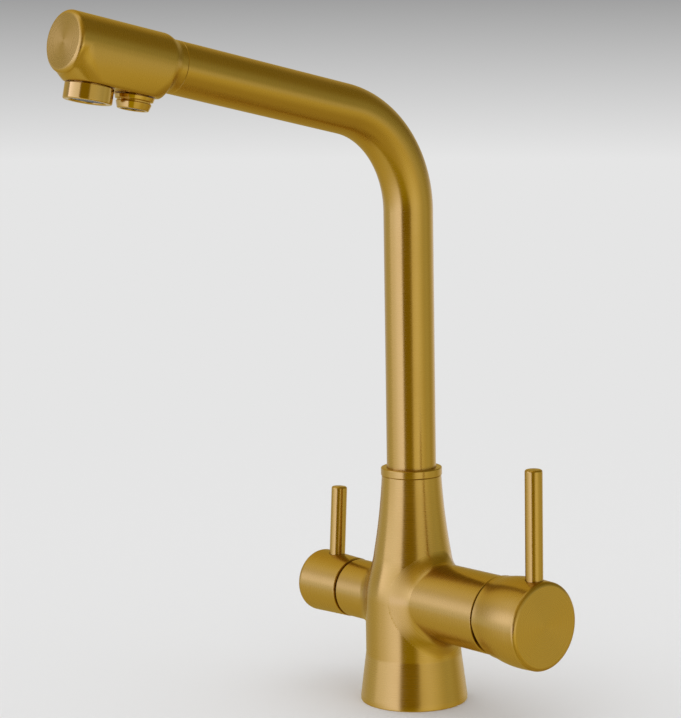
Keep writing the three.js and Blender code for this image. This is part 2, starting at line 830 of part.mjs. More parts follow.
function flowInsert() {
  const radius = nozzleMouth - clearance;
  const [top, bottom] = [nozzlePlate + clearance, nozzleTip - 0.9];
  const hole = rodY(0.6, top - 1, bottom + 1, 6);
  const holesRound = 6;
  const holes = Array.from({ length: holesRound }, (_, i) => {
    const turn = (2 * Math.PI * i) / holesRound;
    return hole.clone().translate(0.6 * radius * Math.cos(turn), 0, 0.6 * radius * Math.sin(turn));
  });
  return toGeometry(cut(rodY(radius, top, bottom, 18), hole, ...holes)).translate(0, 0, nozzleAt);
}

add(headFrame, 'outlet_head', brushedBrass, outletHead());
add(headFrame, 'head_oring', rubber, oRing(headSealRing, headSeal, headSealAt));
add(headFrame, 'aerator_gasket', rubber, revolveY([
  [aeratorThread - 2.2, aeratorSeat + clearance],
  [aeratorThread, aeratorSeat + clearance],
  [aeratorThread, aeratorSeat + clearance + aeratorGasket],
  [aeratorThread - 2.2, aeratorSeat + clearance + aeratorGasket],
]).translate(0, 0, aeratorAt));
add(headFrame, 'aerator_housing', polishedBrass, aeratorHousing());
add(headFrame, 'aerator_insert', greyPlastic, aeratorInsert());
add(headFrame, 'filter_nozzle', polishedBrass, filterNozzle());
add(headFrame, 'filter_flow_insert', greyPlastic, flowInsert());

// ---- Mixer cartridge --------------------------------------------------------------------------

const housingBore = cartridgeRadius - cartridgeWall;
const housingStart = cartridgeFloor + sealThickness + 2 * clearance;
const housingFloor = housingStart + 2.2;
const lipThickness = 2.2;
const housingEnd = nutStep + clearance + lipThickness;
const fixedDiscStart = housingFloor + clearance;
const movingDiscStart = fixedDiscStart + discThickness + clearance;
const driverTop = movingDiscStart + discThickness + 2.6;
const carrierStart = nutStep - carrierLength;
const carrierEnd = nutStep;
const pivotAt = mixerReach - pivotDepth;
const pinRadius = 1.5;
const lipRadius = housingBore - 1.9;
const carrierRadius = housingBore - clearance;
const discRadius = housingBore - clearance;
const movingDiscRadius = discRadius - 3.1;
const stemTip = 1.5; // half the thickness of the stem's tip
const tipPlay = 0.5; // play of the tip, which tilts, in its slot

const portHoles = (from, to) => ports.map(([x, y]) => rod(portRadius, from, to, 8)
  .translate(x, y, 0));

function cartridgeSeal() {
  const [from, to] = [cartridgeFloor + clearance, cartridgeFloor + clearance + sealThickness];
  return cut(rod(cartridgeRadius - 1, from, to), ...portHoles(from - 1, to + 1));
}

function cartridgeHousing() {
  const cup = revolve([
    [0, housingStart], [cartridgeRadius, housingStart],
    [cartridgeRadius, nutStep + clearance],
    [nutBore - clearance, nutStep + clearance],
    [nutBore - clearance, housingEnd],
    [lipRadius, housingEnd],
    [lipRadius, nutStep + clearance],
    [housingBore, nutStep + clearance],
    [housingBore, housingFloor],
    [0, housingFloor],
  ]);
  return cut(cup, ...portHoles(housingStart - 1, housingFloor + 1));
}

function fixedDisc() {
  const [from, to] = [fixedDiscStart, fixedDiscStart + discThickness];
  return cut(rod(discRadius, from, to), ...portHoles(from - 1, to + 1));
}

// The moving disc with its driver: a mixing pocket below, a slot for the stem's tip above.
function movingDisc() {
  const top = movingDiscStart + discThickness;
  const halfSlot = [stemTip + tipPlay, stemHalf + clearance];
  return cut(
    join(
      rod(movingDiscRadius, movingDiscStart, top),
      rod(movingDiscRadius - 2, top - 0.5, driverTop),
    ),
    rod(movingDiscRadius - 2.6, movingDiscStart - 1, movingDiscStart + 1.2, 24),
    box([-halfSlot[0], halfSlot[0]], [-halfSlot[1], halfSlot[1]], [top - 0.4, driverTop + 1]),
  );
}

function cartridgeCarrier() {
  const swing = stemHalf + 5;
  return cut(
    rod(carrierRadius, carrierStart, carrierEnd),
    box([-swing, swing], [-stemHalf - 0.6, stemHalf + 0.6], [carrierStart - 1, carrierEnd + 1]),
    rodY(pinRadius + clearance, -cartridgeRadius, cartridgeRadius, 16).translate(0, 0, pivotAt),
  );
}

function retainingNut() {
  const [from, to] = [housingEnd + clearance, mixerReach - seamGap];
  const slot = (turn) => box([-2, 2], [-nutBore, nutBore], [to - 2, to + 1]).rotateZ(turn);
  return cut(
    ringOf(lipRadius + 0.4, nutBore - clearance, from, to),
    slot(0), slot(Math.PI / 2),
  );
}

add(mixerFrame, 'cartridge_seal', rubber, cartridgeSeal());
add(mixerFrame, 'cartridge_housing', acetal, cartridgeHousing());
add(mixerFrame, 'fixed_ceramic_disc', ceramic, fixedDisc());
add(mixerFrame, 'moving_ceramic_disc', ceramic, movingDisc());
add(mixerFrame, 'cartridge_carrier', greyPlastic, cartridgeCarrier());
add(mixerFrame, 'cartridge_pin', stainless, rodY(
  pinRadius, -carrierRadius + 1, carrierRadius - 1, 16,
).translate(0, 0, pivotAt));
add(mixerFrame, 'cartridge_nut', rawBrass, retainingNut());

// ---- Mixer handle -----------------------------------------------------------------------------

const hubStart = mixerReach + seamGap;
const hubEnd = hubStart + hubLength;
const stemEnd = hubStart + hubCavity + 2.2;
const stemSocketEnd = stemEnd + clearance;
const hubBossStart = hubStart + 1;
const hubScrewAt = hubStart + hubCavity - 2.6;
const hubScrewRadius = 2;
const leverAt = hubEnd - leverInset;
const leverTenon = leverRadius - 1.2;
const leverSeat = hubEndRadius - 2; // spot face for the lever, from the hub's axis
const leverTenonFoot = leverSeat - leverTenonLength;

function mixerStem() {
  const tip = box(
    [-stemTip, stemTip], [-stemHalf, stemHalf], [driverTop - 2, carrierStart + 1],
  );
  const bar = box([-stemHalf, stemHalf], [-stemHalf, stemHalf], [carrierStart + 0.4, stemEnd]);
  const barrel = rodY(stemHalf + 1.6, -stemHalf, stemHalf, 20).translate(0, 0, pivotAt);
  const pinHole = rodY(pinRadius + clearance, -stemHalf - 1, stemHalf + 1, 16)
    .translate(0, 0, pivotAt);
  return cut(join(tip, bar, barrel), pinHole);
}

// Half outline of the hub: a rim, a slight waist and a flare out to the end disc.
function hubOutline() {
  const outline = new THREE.Path();
  outline.moveTo(hubRimRadius - edge, hubStart);
  outline.lineTo(hubRimRadius, hubStart + edge);
  outline.bezierCurveTo(
    hubRimRadius, hubStart + hubLength * 0.2,
    hubSwell, hubStart + hubLength * 0.3,
    hubEndRadius, hubEnd - discEdge,
  );
  outline.lineTo(hubEndRadius - 0.3 * discEdge, hubEnd - 0.3 * discEdge);
  outline.lineTo(hubEndRadius - discEdge, hubEnd);
  return outline.getPoints(4).map((point) => [point.x, point.y]);
}

// The hub's rim is cut back below its axis, so that it stays clear of the branch when it tilts.
function tiltRelief() {
  const reach = hubEndRadius + 4;
  const wedge = new THREE.Shape([
    new THREE.Vector2(0, hubStart - 1),
    new THREE.Vector2(0, hubStart),
    new THREE.Vector2(-reach, hubStart + reach * Math.tan(tiltAngle)),
    new THREE.Vector2(-reach, hubStart - 1),
  ]);
  return new THREE.ExtrudeGeometry(wedge, { depth: 2 * reach, bevelEnabled: false })
    .rotateX(Math.PI / 2)
    .translate(0, reach, 0);
}

function mixerHub() {
  const hollow = ringOf(
    hubBossRadius, hubRimRadius - hubWall, hubStart - 1, hubStart + hubCavity,
  );
  const bossRecess = rod(hubBossRadius + edge, hubStart - 1, hubBossStart);
  const half = stemHalf + clearance;
  const socket = box([-half, half], [-half, half], [hubStart - 1, stemSocketEnd]);
  const screwHole = rodX(hubScrewRadius + clearance, -hubSwell, -stemHalf, 12)
    .translate(0, 0, hubScrewAt);
  const leverHole = [
    rodX(leverTenon + clearance, leverTenonFoot - clearance, hubEndRadius, 12),
    rodX(leverRadius + clearance, leverSeat, hubSwell, 18),
  ].map((hole) => hole.translate(0, 0, leverAt));
  return cut(
    revolve([[0, hubStart], ...hubOutline(), [0, hubEnd]], 28),
    hollow, bossRecess, socket, screwHole, ...leverHole, tiltRelief(),
  );
}

// A lever: a plain pin with a rounded top and a threaded tenon below its seat.
function lever(radius, tenon, foot, seat, top) {
  const crown = Array.from({ length: 4 }, (_, i) => {
    const turn = (Math.PI / 2) * (i / 3);
    return [radius - 1 + Math.cos(turn), top - 1 + Math.sin(turn)];
  });
  return revolve([
    [0, foot], [tenon, foot], [tenon, seat + clearance], [radius, seat + clearance],
    ...crown, [0, top],
  ], 16).rotateY(Math.PI / 2);
}

add(mixerFrame, 'mixer_stem', rawBrass, mixerStem());
add(mixerFrame, 'mixer_hub', brushedBrass, mixerHub());
add(mixerFrame, 'mixer_lever', brushedBrass, lever(
  leverRadius, leverTenon, leverTenonFoot, leverSeat, leverTop,
).translate(0, 0, leverAt));
add(mixerFrame, 'mixer_hub_screw', stainless, toGeometry(grubScrew(hubScrewRadius, 5))
  .rotateY(-Math.PI / 2)
  .translate(-stemHalf - clearance, 0, hubScrewAt));

// ---- Filtered-water valve ---------------------------------------------------------------------

const valveDiscRadius = valveRadius - quarterTurnWall;
const valveFixedStart = valveInner + clearance;
const valveTurningStart = valveFixedStart + discThickness + clearance;
const spindleFootStart = valveTurningStart + discThickness + clearance;
const spindleFootEnd = spindleFootStart + 4;
const valveNeck = spindleFootEnd + clearance;
const hexStart = filterReach + clearance;
const hexEnd = hexStart + valveHexLength;
const spindleEnd = hexEnd + spindleReach;
const clipAt = hexEnd + clearance;
const clipThickness = 1;
const spindleBore = spindleRadius + clearance;
const valveSeal = 0.8; // section radius of the O-ring on the barrel
const valveSealRing = valveRadius - valveSeal;
const valveSealAt = filterReach - 5;

function filterValve() {
  const barrel = revolve([
    [valveDiscRadius + clearance, valveInner],
    [valveRadius, valveInner],
    ...groove(valveRadius, valveSealRing - valveSeal - clearance, valveSealAt,
      2 * valveSeal + 2 * clearance),
    [valveRadius, hexStart + 0.5],
    [spindleBore, hexStart + 0.5],
    [spindleBore, valveNeck],
    [valveDiscRadius + clearance, valveNeck],
  ]);
  const across = valveHexFlats / 2 / Math.cos(Math.PI / 6);
  const hexagon = new THREE.CylinderGeometry(across, across, hexEnd - hexStart, 6)
    .rotateX(Math.PI / 2)
    .translate(0, 0, (hexStart + hexEnd) / 2);
  const flange = ringOf(spindleBore, valveBore + 1.5, hexStart, hexStart + 1);
  const through = rod(spindleBore, hexStart - 1, hexEnd + 1, 16);
  return cut(join(barrel, hexagon, flange), through);
}

function halfMoonPorts(from, to, radius) {
  const window = box([1.2, radius], [-radius, radius], [from - 1, to + 1]);
  const round = rod(radius, from - 1, to + 1, 20);
  return asSolid(round).intersect(asSolid(window));
}

function valveDisc(from) {
  const to = from + discThickness;
  return cut(rod(valveDiscRadius, from, to), halfMoonPorts(from, to, valveDiscRadius - 1.6));
}

// The spindle turns the upper disc by a key across its foot.
function filterSpindle() {
  const neck = clipAt + clipThickness / 2;
  return join(
    rod(valveDiscRadius, spindleFootStart, spindleFootEnd),
    revolve([
      [0, spindleFootEnd - 1], [spindleRadius, spindleFootEnd - 1],
      ...groove(spindleRadius, spindleRadius - 0.9, neck, clipThickness + 2 * clearance),
      [spindleRadius, spindleEnd - edge], [spindleRadius - edge, spindleEnd], [0, spindleEnd],
    ]),
  );
}

function spindleClip() {
  const inner = spindleRadius - 0.9 + clearance;
  const ring = ringOf(inner, spindleRadius + 2, clipAt, clipAt + clipThickness);
  const mouth = box([-1.6, 1.6], [0, spindleRadius + 4], [clipAt - 1, clipAt + 2]);
  return cut(ring, mouth);
}

const valveSealFrom = valveInner - clearance - sealThickness;

add(filterFrame, 'valve_seat_seal', rubber, ringOf(
  waterwayRadius + 1, valveRadius - 1, valveSealFrom, valveSealFrom + sealThickness,
));
add(filterFrame, 'filter_valve', rawBrass, filterValve());
add(filterFrame, 'valve_oring', rubber, oRing(valveSealRing, valveSeal, valveSealAt));
add(filterFrame, 'valve_fixed_disc', ceramic, valveDisc(valveFixedStart));
add(filterHandle, 'valve_turning_disc', ceramic, valveDisc(valveTurningStart));
add(filterHandle, 'filter_spindle', rawBrass, filterSpindle());
add(filterHandle, 'spindle_clip', stainless, spindleClip());

// ---- Filtered-water handle --------------------------------------------------------------------

const knobStart = filterReach + seamGap;
const knobEnd = knobStart + knobLength;
const knobHollowEnd = clipAt + clipThickness + 1.5;
const knobLeverPlace = knobStart + knobLeverAt;
const knobLeverSeat = knobRadius - 1.6;
const knobLeverTenon = knobLeverRadius - 1.2;
const knobLeverFoot = spindleBore + 2.4;
const knobScrewAt = knobHollowEnd + 3.4;

function filterKnob() {
  const outer = Array.from({ length: 5 }, (_, i) => {
    const turn = (Math.PI / 2) * (i / 4);
    return [
      knobRadius - knobRound + knobRound * Math.cos(turn),
      knobEnd - knobRound + knobRound * Math.sin(turn),
    ];
  });
  const screwHole = rodX(hubScrewRadius + clearance, -knobRadius - 2, -spindleRadius, 12)
    .translate(0, 0, knobScrewAt);
  const leverHole = [
    rodX(knobLeverTenon + clearance, knobLeverFoot - clearance, knobRadius, 12),
    rodX(knobLeverRadius + clearance, knobLeverSeat, knobRadius + 2, 18),
  ].map((hole) => hole.translate(0, 0, knobLeverPlace));
  return cut(
    revolve([
      [0, knobStart], [knobRimRadius - edge, knobStart], [knobRimRadius, knobStart + edge],
      ...outer, [0, knobEnd],
    ], 24),
    rod(knobRimRadius - knobWall, knobStart - 1, knobHollowEnd),
    rod(spindleBore, knobStart, spindleEnd + clearance, 20),
    screwHole, ...leverHole,
  );
}

add(filterHandle, 'filter_knob', brushedBrass, filterKnob());
add(filterHandle, 'filter_lever', brushedBrass, lever(
  knobLeverRadius, knobLeverTenon, knobLeverFoot, knobLeverSeat, knobLeverTop,
).translate(0, 0, knobLeverPlace));
add(filterHandle, 'filter_knob_screw', stainless, toGeometry(grubScrew(hubScrewRadius, 5))
  .rotateY(-Math.PI / 2)
  .translate(-spindleRadius - clearance, 0, knobScrewAt));

export default tap;
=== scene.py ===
# A three way filtered water tap in brushed brass, dressed for its picture.
#
# Sizes are in millimetres and become metres in skin(). +Z is up and the origin is the centre of
# the foot's underside. The spout reaches towards -Y, the mixer handle is on +X and the
# filtered-water handle on -X.

import json
import math

import bmesh
import bpy
import numpy as np
from mathutils import Matrix, Vector


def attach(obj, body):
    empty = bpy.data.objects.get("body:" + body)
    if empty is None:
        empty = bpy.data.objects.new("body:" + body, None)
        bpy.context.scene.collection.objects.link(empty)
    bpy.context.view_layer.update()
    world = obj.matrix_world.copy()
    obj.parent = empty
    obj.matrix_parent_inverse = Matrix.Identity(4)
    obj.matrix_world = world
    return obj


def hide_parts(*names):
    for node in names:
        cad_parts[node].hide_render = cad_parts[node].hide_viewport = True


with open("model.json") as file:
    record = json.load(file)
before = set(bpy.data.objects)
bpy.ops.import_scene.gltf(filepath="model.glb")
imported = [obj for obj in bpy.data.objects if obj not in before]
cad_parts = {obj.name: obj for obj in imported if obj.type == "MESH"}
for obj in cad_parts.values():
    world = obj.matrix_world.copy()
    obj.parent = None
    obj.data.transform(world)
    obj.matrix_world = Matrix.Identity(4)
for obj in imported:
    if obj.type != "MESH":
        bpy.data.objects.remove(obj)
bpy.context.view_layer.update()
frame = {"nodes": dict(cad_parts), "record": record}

MM = 0.001
FULL_TURN = 2 * math.pi
AXIS = 0.01  # radius at which a closed outline stops short of its axis
SHARP = math.radians(32)  # edges that turn further than this are shaded sharp

# Sides of round pieces, more where they are seen closely.
HEAD_SIDES = 224
BODY_SIDES = 144
RING_SIDES = 128
PLAIN_SIDES = 96
PIN_SIDES = 64
HOLE_SIDES = 48
SCREW_SIDES = 32

# ---- Sizes of the tap ------------------------------------------------------------------------

SEAM = 1.4  # gap between a branch and its handle
CLEARANCE = 0.3  # gap between pieces that seat on each other
SEAM_PRESSED = 0.05  # gap between parts that are pressed together
EDGE = 0.5  # rounding of turned rims
DISC_EDGE = 2.2  # softer edge round the end discs of the head and the mixer handle

FOOT_RADIUS = 26.4
FOOT_RIM = 2
FLARE_HEIGHT = 24
WAIST_RADIUS = 23.6
MIXER_HEIGHT = 52.2
FILTER_HEIGHT = 48.8
CONE_START = 74
CONE_HEIGHT = 38.8
CONE_BASE_RADIUS = 19.1
CONE_HOLLOW = 0.6
BODY_TOP_RADIUS = 14.7
BODY_HEIGHT = CONE_START + CONE_HEIGHT
SOCKET_RADIUS = 11.1
SOCKET_SHOWN = 12  # depth of the socket that the dressed body keeps
SCREW_DROP = 8.5  # the swivel's screw, from the top of the body

INLETS = [(9.03, 9.35), (9.03, -9.35), (-13, 0)]
INLET_RADIUS = 4.6
INLET_DEPTH = 18
STUDS = [(-3.99, 14.88), (-3.99, -14.88)]
STUD_RADIUS = 3.4
STUD_DEPTH = 20
GASKET_RADIUS = 22.2
GASKET_WIDTH = 3.4
GASKET_DEPTH = 1.6

MIXER_REACH = 60
MIXER_BRANCH_RADIUS = 18.9
MIXER_BORE = 16.2
FILTER_REACH = 42
FILTER_BRANCH_RADIUS = 14.6
FILTER_BORE = 10.6
BRANCH_ROOT = 3  # how far a branch starts inside the column's skin
BORE_SHOWN = 8  # depth of a branch's bore that the dressed body keeps
SLEEVE_RADIUS = 13.6
SLEEVE_STEP = 0.1  # the sleeve's bore is wider than the branch's by this
SLEEVE_DEPTH = 2  # how far it reaches into the branch
FILLET_ABOVE = 6
FILLET_BELOW = 9
FILLET_BESIDE = 5
FILLET_LIMIT = 0.96  # share of the waist's radius that a fillet may reach at the side

HUB_LENGTH = 29.6
HUB_RIM_RADIUS = 19.7
HUB_SWELL = 22.3  # the hub's outline is drawn out towards this radius, without reaching it
HUB_END_RADIUS = 21.2
HUB_CAVITY = 11.6
HUB_WALL = 3
HUB_BOSS_RADIUS = 8.4
HUB_SCREW_INSET = 2.6  # from the cavity's floor towards the rim
HUB_SPOT_DEPTH = 2
TILT_RANGE = math.radians(14)
LEVER_RADIUS = 4.2
LEVER_INSET = 7.1
LEVER_TOP = 73.6
SPOT_GAP = 0.2  # between a lever and the spot face round its foot
SPOT_LIFT = 0.1  # between a lever's foot and the floor of the spot face
TOOL_RUN = 4  # how far a drilling tool reaches past the skin

KNOB_RIM_RADIUS = 14.9
KNOB_RADIUS = 15.8
KNOB_LENGTH = 28.4
KNOB_ROUND = 3.6
KNOB_WALL = 2.6
KNOB_HOLLOW = 7.2
KNOB_SCREW_INSET = 3.4  # from the hollow's floor into the knob
KNOB_SCREW_FLOOR = 6  # how near the axis its screw's hole ends
KNOB_SPOT_DEPTH = 1.6
KNOB_LEVER_RADIUS = 4
KNOB_LEVER_AT = 14.8
KNOB_LEVER_TOP = 49.9
HANDLE_LEAN = math.radians(3.5)
GRUB_HOLE = 2.3

TUBE_RADIUS = 12.1
TUBE_BORE = 10.6
TUBE_START = 116.1
RISER_HEIGHT = 129.6
BEND_RADIUS = 52
ARM_RISE = math.radians(12)
SPOUT_REACH = 198
COLLAR_HEIGHT = 3.8  # from the top of the body
COLLAR_RADIUS = 15.05
COLLAR_GAP = 0.08  # between the collar and the tube
TUBE_LIP = 0.15  # chamfer where the tube meets the head's neck

HEAD_LENGTH = 56.6
HEAD_RADIUS = 13.8
HEAD_NECK = 2.2
HEAD_STEP = 6.5  # length of the slope down to the neck
HEAD_BLEND = 1.2  # rounding where the boss leaves the cylinder, fading out towards its sides
HEAD_BLEND_DEPTH = 8  # depth below the axis at which it has its full size
FACET_DROP = 0.12  # how far the flats of the CAD's facets lie inside its round edges
OUTLET_FACE = 16.2
BOSS_LEAN = 9
BOSS_EDGE = 0.9  # rounding of the boss round its flat face
BOSS_START = 8  # the boss meets the cylinder between these places
BOSS_END = 44
AERATOR_AT = 16.8
AERATOR_RADIUS = 10.8
AERATOR_DROP = 7
AERATOR_WALL = 0.6  # metal of the boss beside the aerator
AERATOR_BORE = 7.9
SIEVE_DROP = 1.1  # the sieve's face, inside the aerator's end
SIEVE_DEPTH = 2.5
SIEVE_PITCH = 1.35
SIEVE_HOLE = 0.95
SIEVE_RIM = 1.1
NOZZLE_AT = 41
NOZZLE_RADIUS = 9
NOZZLE_WALL = 1.8  # metal of the boss beside the nozzle
NOZZLE_TIP_RADIUS = 7
NOZZLE_DROP = 6
NOZZLE_MOUTH = 5.4
THREAD_SHOWN = 4  # how far the outlets reach up into the head

# ---- Nodes -----------------------------------------------------------------------------------

def linear(hex_colour):
    """An sRGB hex colour as linear red, green, blue and alpha."""
    values = [int(hex_colour[i:i + 2], 16) / 255 for i in (1, 3, 5)]
    return [v / 12.92 if v <= 0.04045 else ((v + 0.055) / 1.055) ** 2.4 for v in values] + [1]


def add_node(tree, kind, inputs=None, **settings):
    """Adds a node. An input is a value, or another node's output that it links to."""
    node = tree.nodes.new(kind)
    for name, value in settings.items():
        setattr(node, name, value)
    for key, value in (inputs or {}).items():
        if isinstance(value, bpy.types.NodeSocket):
            tree.links.new(value, node.inputs[key])
        else:
            node.inputs[key].default_value = value
    return node


def new_material(name):
    material = bpy.data.materials.new(name)
    material.use_nodes = True
    material.node_tree.nodes.clear()
    return material, material.node_tree


def finish_material(tree, shader):
    add_node(tree, "ShaderNodeOutputMaterial", {"Surface": shader})


# ---- Materials -------------------------------------------------------------------------------

HAIRLINE = 0.5  # spacing of the brushed lines; the real ones are finer and wouldn't show
HAIRLINE_LENGTH = 30
HAIRLINE_DEPTH = 0.05
HAIRLINE_SWING = 0.08  # share by which the lines change the gloss either way
TONE_SWING = 0.015  # share by which they change the colour either way
HANDLING = 18  # size of the faint patches that hands leave
HANDLING_DULLS = 0.03  # roughness that the patches add at most
NOISE_RANGE = {"From Min": 0.3, "From Max": 0.7}  # what a noise's values mostly lie between


def brushed_metal(name, colour, roughness, anisotropy, relief):
    """Turned and brushed metal: fine lines round each piece blur its reflections lengthwise and
    leave their edges crisp across, and faint handling patches vary the gloss."""
    material, tree = new_material(name)
    place = add_node(tree, "ShaderNodeTexCoord").outputs["Object"]
    along = add_node(tree, "ShaderNodeAttribute", attribute_name="along").outputs["Fac"]
    lay = add_node(tree, "ShaderNodeAttribute", attribute_name="lay").outputs["Vector"]
    lay = add_node(
        tree, "ShaderNodeVectorTransform", {"Vector": lay},
        vector_type="VECTOR", convert_from="OBJECT", convert_to="WORLD",
    ).outputs["Vector"]
    around = add_node(
        tree, "ShaderNodeVectorMath",
        {0: place, 1: [1 / (HAIRLINE_LENGTH * MM)] * 3}, operation="MULTIPLY",
    ).outputs["Vector"]
    line = add_node(
        tree, "ShaderNodeMath", {0: along, 1: 1 / (HAIRLINE * MM)}, operation="MULTIPLY",
    ).outputs["Value"]
    across = add_node(tree, "ShaderNodeCombineXYZ", {"X": line, "Y": line}).outputs["Vector"]
    seed = add_node(
        tree, "ShaderNodeVectorMath", {0: around, 1: across}, operation="ADD",
    ).outputs["Vector"]
    hairlines = add_node(
        tree, "ShaderNodeTexNoise", {"Vector": seed, "Scale": 1, "Detail": 3, "Roughness": 0.65},
    ).outputs["Fac"]
    patches = add_node(
        tree, "ShaderNodeTexNoise", {"Vector": place, "Scale": 1 / (HANDLING * MM), "Detail": 3},
    ).outputs["Fac"]
    gloss = add_node(
        tree, "ShaderNodeMapRange",
        {"Value": hairlines, **NOISE_RANGE,
         "To Min": roughness * (1 - HAIRLINE_SWING), "To Max": roughness * (1 + HAIRLINE_SWING)},
    ).outputs["Result"]
    handled = add_node(
        tree, "ShaderNodeMapRange",
        {"Value": patches, "From Min": 0.35, "From Max": 0.7, "To Min": 0,
         "To Max": HANDLING_DULLS},
    ).outputs["Result"]
    gloss = add_node(tree, "ShaderNodeMath", {0: gloss, 1: handled}, operation="ADD").outputs[0]
    tone = add_node(
        tree, "ShaderNodeMapRange",
        {"Value": hairlines, **NOISE_RANGE, "To Min": 1 - TONE_SWING, "To Max": 1 + TONE_SWING},
    ).outputs["Result"]
    tint = add_node(
        tree, "ShaderNodeVectorMath", {0: linear(colour)[:3], "Scale": tone}, operation="SCALE",
    ).outputs["Vector"]
    bump = add_node(
        tree, "ShaderNodeBump",
        {"Strength": relief, "Distance": HAIRLINE_DEPTH * MM, "Height": hairlines},
    ).outputs["Normal"]
    shader = add_node(
        tree, "ShaderNodeBsdfPrincipled",
        {"Base Color": tint, "Metallic": 1, "Roughness": gloss, "Anisotropic": anisotropy,
         "Normal": bump, "Tangent": lay},
    )
    finish_material(tree, shader.outputs["BSDF"])
    return material


def grained(name, colour, roughness, swing, grain, detail, relief, depth, metallic=0):
    """A plain surface of one colour. Its grain, in millimetres, swings the gloss by a share
    either way and stands up by a depth in millimetres."""
    material, tree = new_material(name)
    place = add_node(tree, "ShaderNodeTexCoord").outputs["Object"]
    grit = add_node(
        tree, "ShaderNodeTexNoise",
        {"Vector": place, "Scale": 1 / (grain * MM), "Detail": detail},
    ).outputs["Fac"]
    gloss = add_node(
        tree, "ShaderNodeMapRange",
        {"Value": grit, "To Min": roughness * (1 - swing), "To Max": roughness * (1 + swing)},
    ).outputs["Result"]
    bump = add_node(
        tree, "ShaderNodeBump", {"Strength": relief, "Distance": depth * MM, "Height": grit},
    ).outputs["Normal"]
    shader = add_node(
        tree, "ShaderNodeBsdfPrincipled",
        {"Base Color": linear(colour), "Metallic": metallic, "Roughness": gloss, "Normal": bump},
    )
    finish_material(tree, shader.outputs["BSDF"])
    return material


def machined_metal(name, colour, roughness):
    """Machined or drawn metal, its gloss a little uneven."""
    return grained(
        name, colour, roughness, swing=0.2, grain=2, detail=4, relief=0.05, depth=0.02, metallic=1,
    )


def moulded(name, colour, roughness, grain):
    """Moulded plastic, rubber or fired ceramic, with a fine grain."""
    return grained(
        name, colour, roughness, swing=0.15, grain=grain, detail=2, relief=0.15, depth=0.03,
    )


MATERIALS = {
    # Satin brass brushed round each part: soft long highlights, a fine grain, warm and even.
    "brushed_brass": brushed_metal("brass_brushed", "#c4a248", 0.26, 0.7, 0.02),
    # Polished brass rims of the outlets: brighter and crisper than the skin round them.
    "polished_brass": brushed_metal("brass_polished", "#c8a650", 0.12, 0.3, 0.02),
    # Brass as the lathe leaves it, inside: paler and duller, with a little unevenness.
    "raw_brass": machined_metal("brass_machined", "#b59a5a", 0.35),
    # Turned stainless steel of the screws, pin and clip: cool grey against the brass.
    "stainless": machined_metal("stainless_steel_turned", "#b9bcc0", 0.3),
    # EPDM seals and the foot's gasket: matt near-black.
    "rubber": moulded("epdm_rubber", "#1d1d1f", 0.7, 0.4),
    # Lapped alumina discs: off-white with a smooth gloss.
    "ceramic": moulded("alumina_lapped", "#eceae2", 0.2, 1.5),
    # Moulded acetal of the slip ring and the cartridge: warm white, half matt.
    "acetal": moulded("acetal_moulded", "#e4e2dc", 0.45, 0.6),
    # Moulded ABS of the aerator's sieve: mid grey, half matt.
    "grey_plastic": moulded("abs_grey_moulded", "#85878a", 0.5, 0.6),
    # Extruded polyethylene of the inner hose: milky white.
    "hose_plastic": moulded("polyethylene_hose", "#d8dde0", 0.4, 1),
}


# ---- Mesh helpers ----------------------------------------------------------------------------

def add_object(name, data):
    thing = bpy.data.objects.new(name, data)
    bpy.context.scene.collection.objects.link(thing)
    return thing


def rounded(corners, steps=6):
    """Points of an outline of (radius, height, rounding) corners, its corners rounded."""
    points = []
    for i, (radius, height, rounding) in enumerate(corners):
        here = np.array([radius, height], float)
        if rounding == 0:
            points.append(here)
            continue
        back = np.array(corners[i - 1][:2], float) - here
        on = np.array(corners[i + 1][:2], float) - here
        back /= np.linalg.norm(back)
        on /= np.linalg.norm(on)
        half = math.acos(float(np.clip(back @ on, -1, 1))) / 2
        centre = here + (back + on) / np.linalg.norm(back + on) * rounding / math.sin(half)
        start = here + back * rounding / math.tan(half) - centre
        end = here + on * rounding / math.tan(half) - centre
        turn = math.atan2(start[0] * end[1] - start[1] * end[0], start @ end)
        for angle in np.linspace(0, turn, steps + 1):
            cosine, sine = math.cos(angle), math.sin(angle)
            points.append(centre + np.array([
                start[0] * cosine - start[1] * sine, start[0] * sine + start[1] * cosine,
            ]))
    return points


def curve(points, steps):
    """A Bezier curve of any order through its control points."""
    order = len(points) - 1
    weights = [math.comb(order, k) for k in range(order + 1)]
    places = np.linspace(0, 1, steps + 1)[:, None]
    return sum(
        weight * (1 - places) ** (order - k) * places ** k * np.array(point, float)
        for k, (weight, point) in enumerate(zip(weights, points))
    )


def turned(profile, sides=PLAIN_SIDES):
    """Rings of a profile of (radius, height) points, turned about Z."""
    angles = np.linspace(0, FULL_TURN, sides, endpoint=False)
    profile = np.array([point[:2] for point in profile], float)
    return np.stack([
        profile[:, :1] * np.cos(angles), profile[:, :1] * np.sin(angles),
        np.repeat(profile[:, 1:], sides, axis=1),
    ], axis=2)


def swept(stations, radius, sides=RING_SIDES):
    """Rings round stations of (point, direction) in the plane of Y and Z."""
    angles = np.linspace(0, FULL_TURN, sides, endpoint=False)
    rings = []
    for point, direction in stations:
        across = np.cross([1, 0, 0], direction)
        rings.append(
            np.array(point) + radius * np.cos(angles)[:, None] * np.array([1, 0, 0])
            + radius * np.sin(angles)[:, None] * across
        )
    return np.array(rings)


def placed(rings, matrix):
    """Rings moved from a frame of the tap into the whole tap's frame."""
    matrix = np.array(matrix)
    return rings @ matrix[:3, :3].T + matrix[:3, 3]


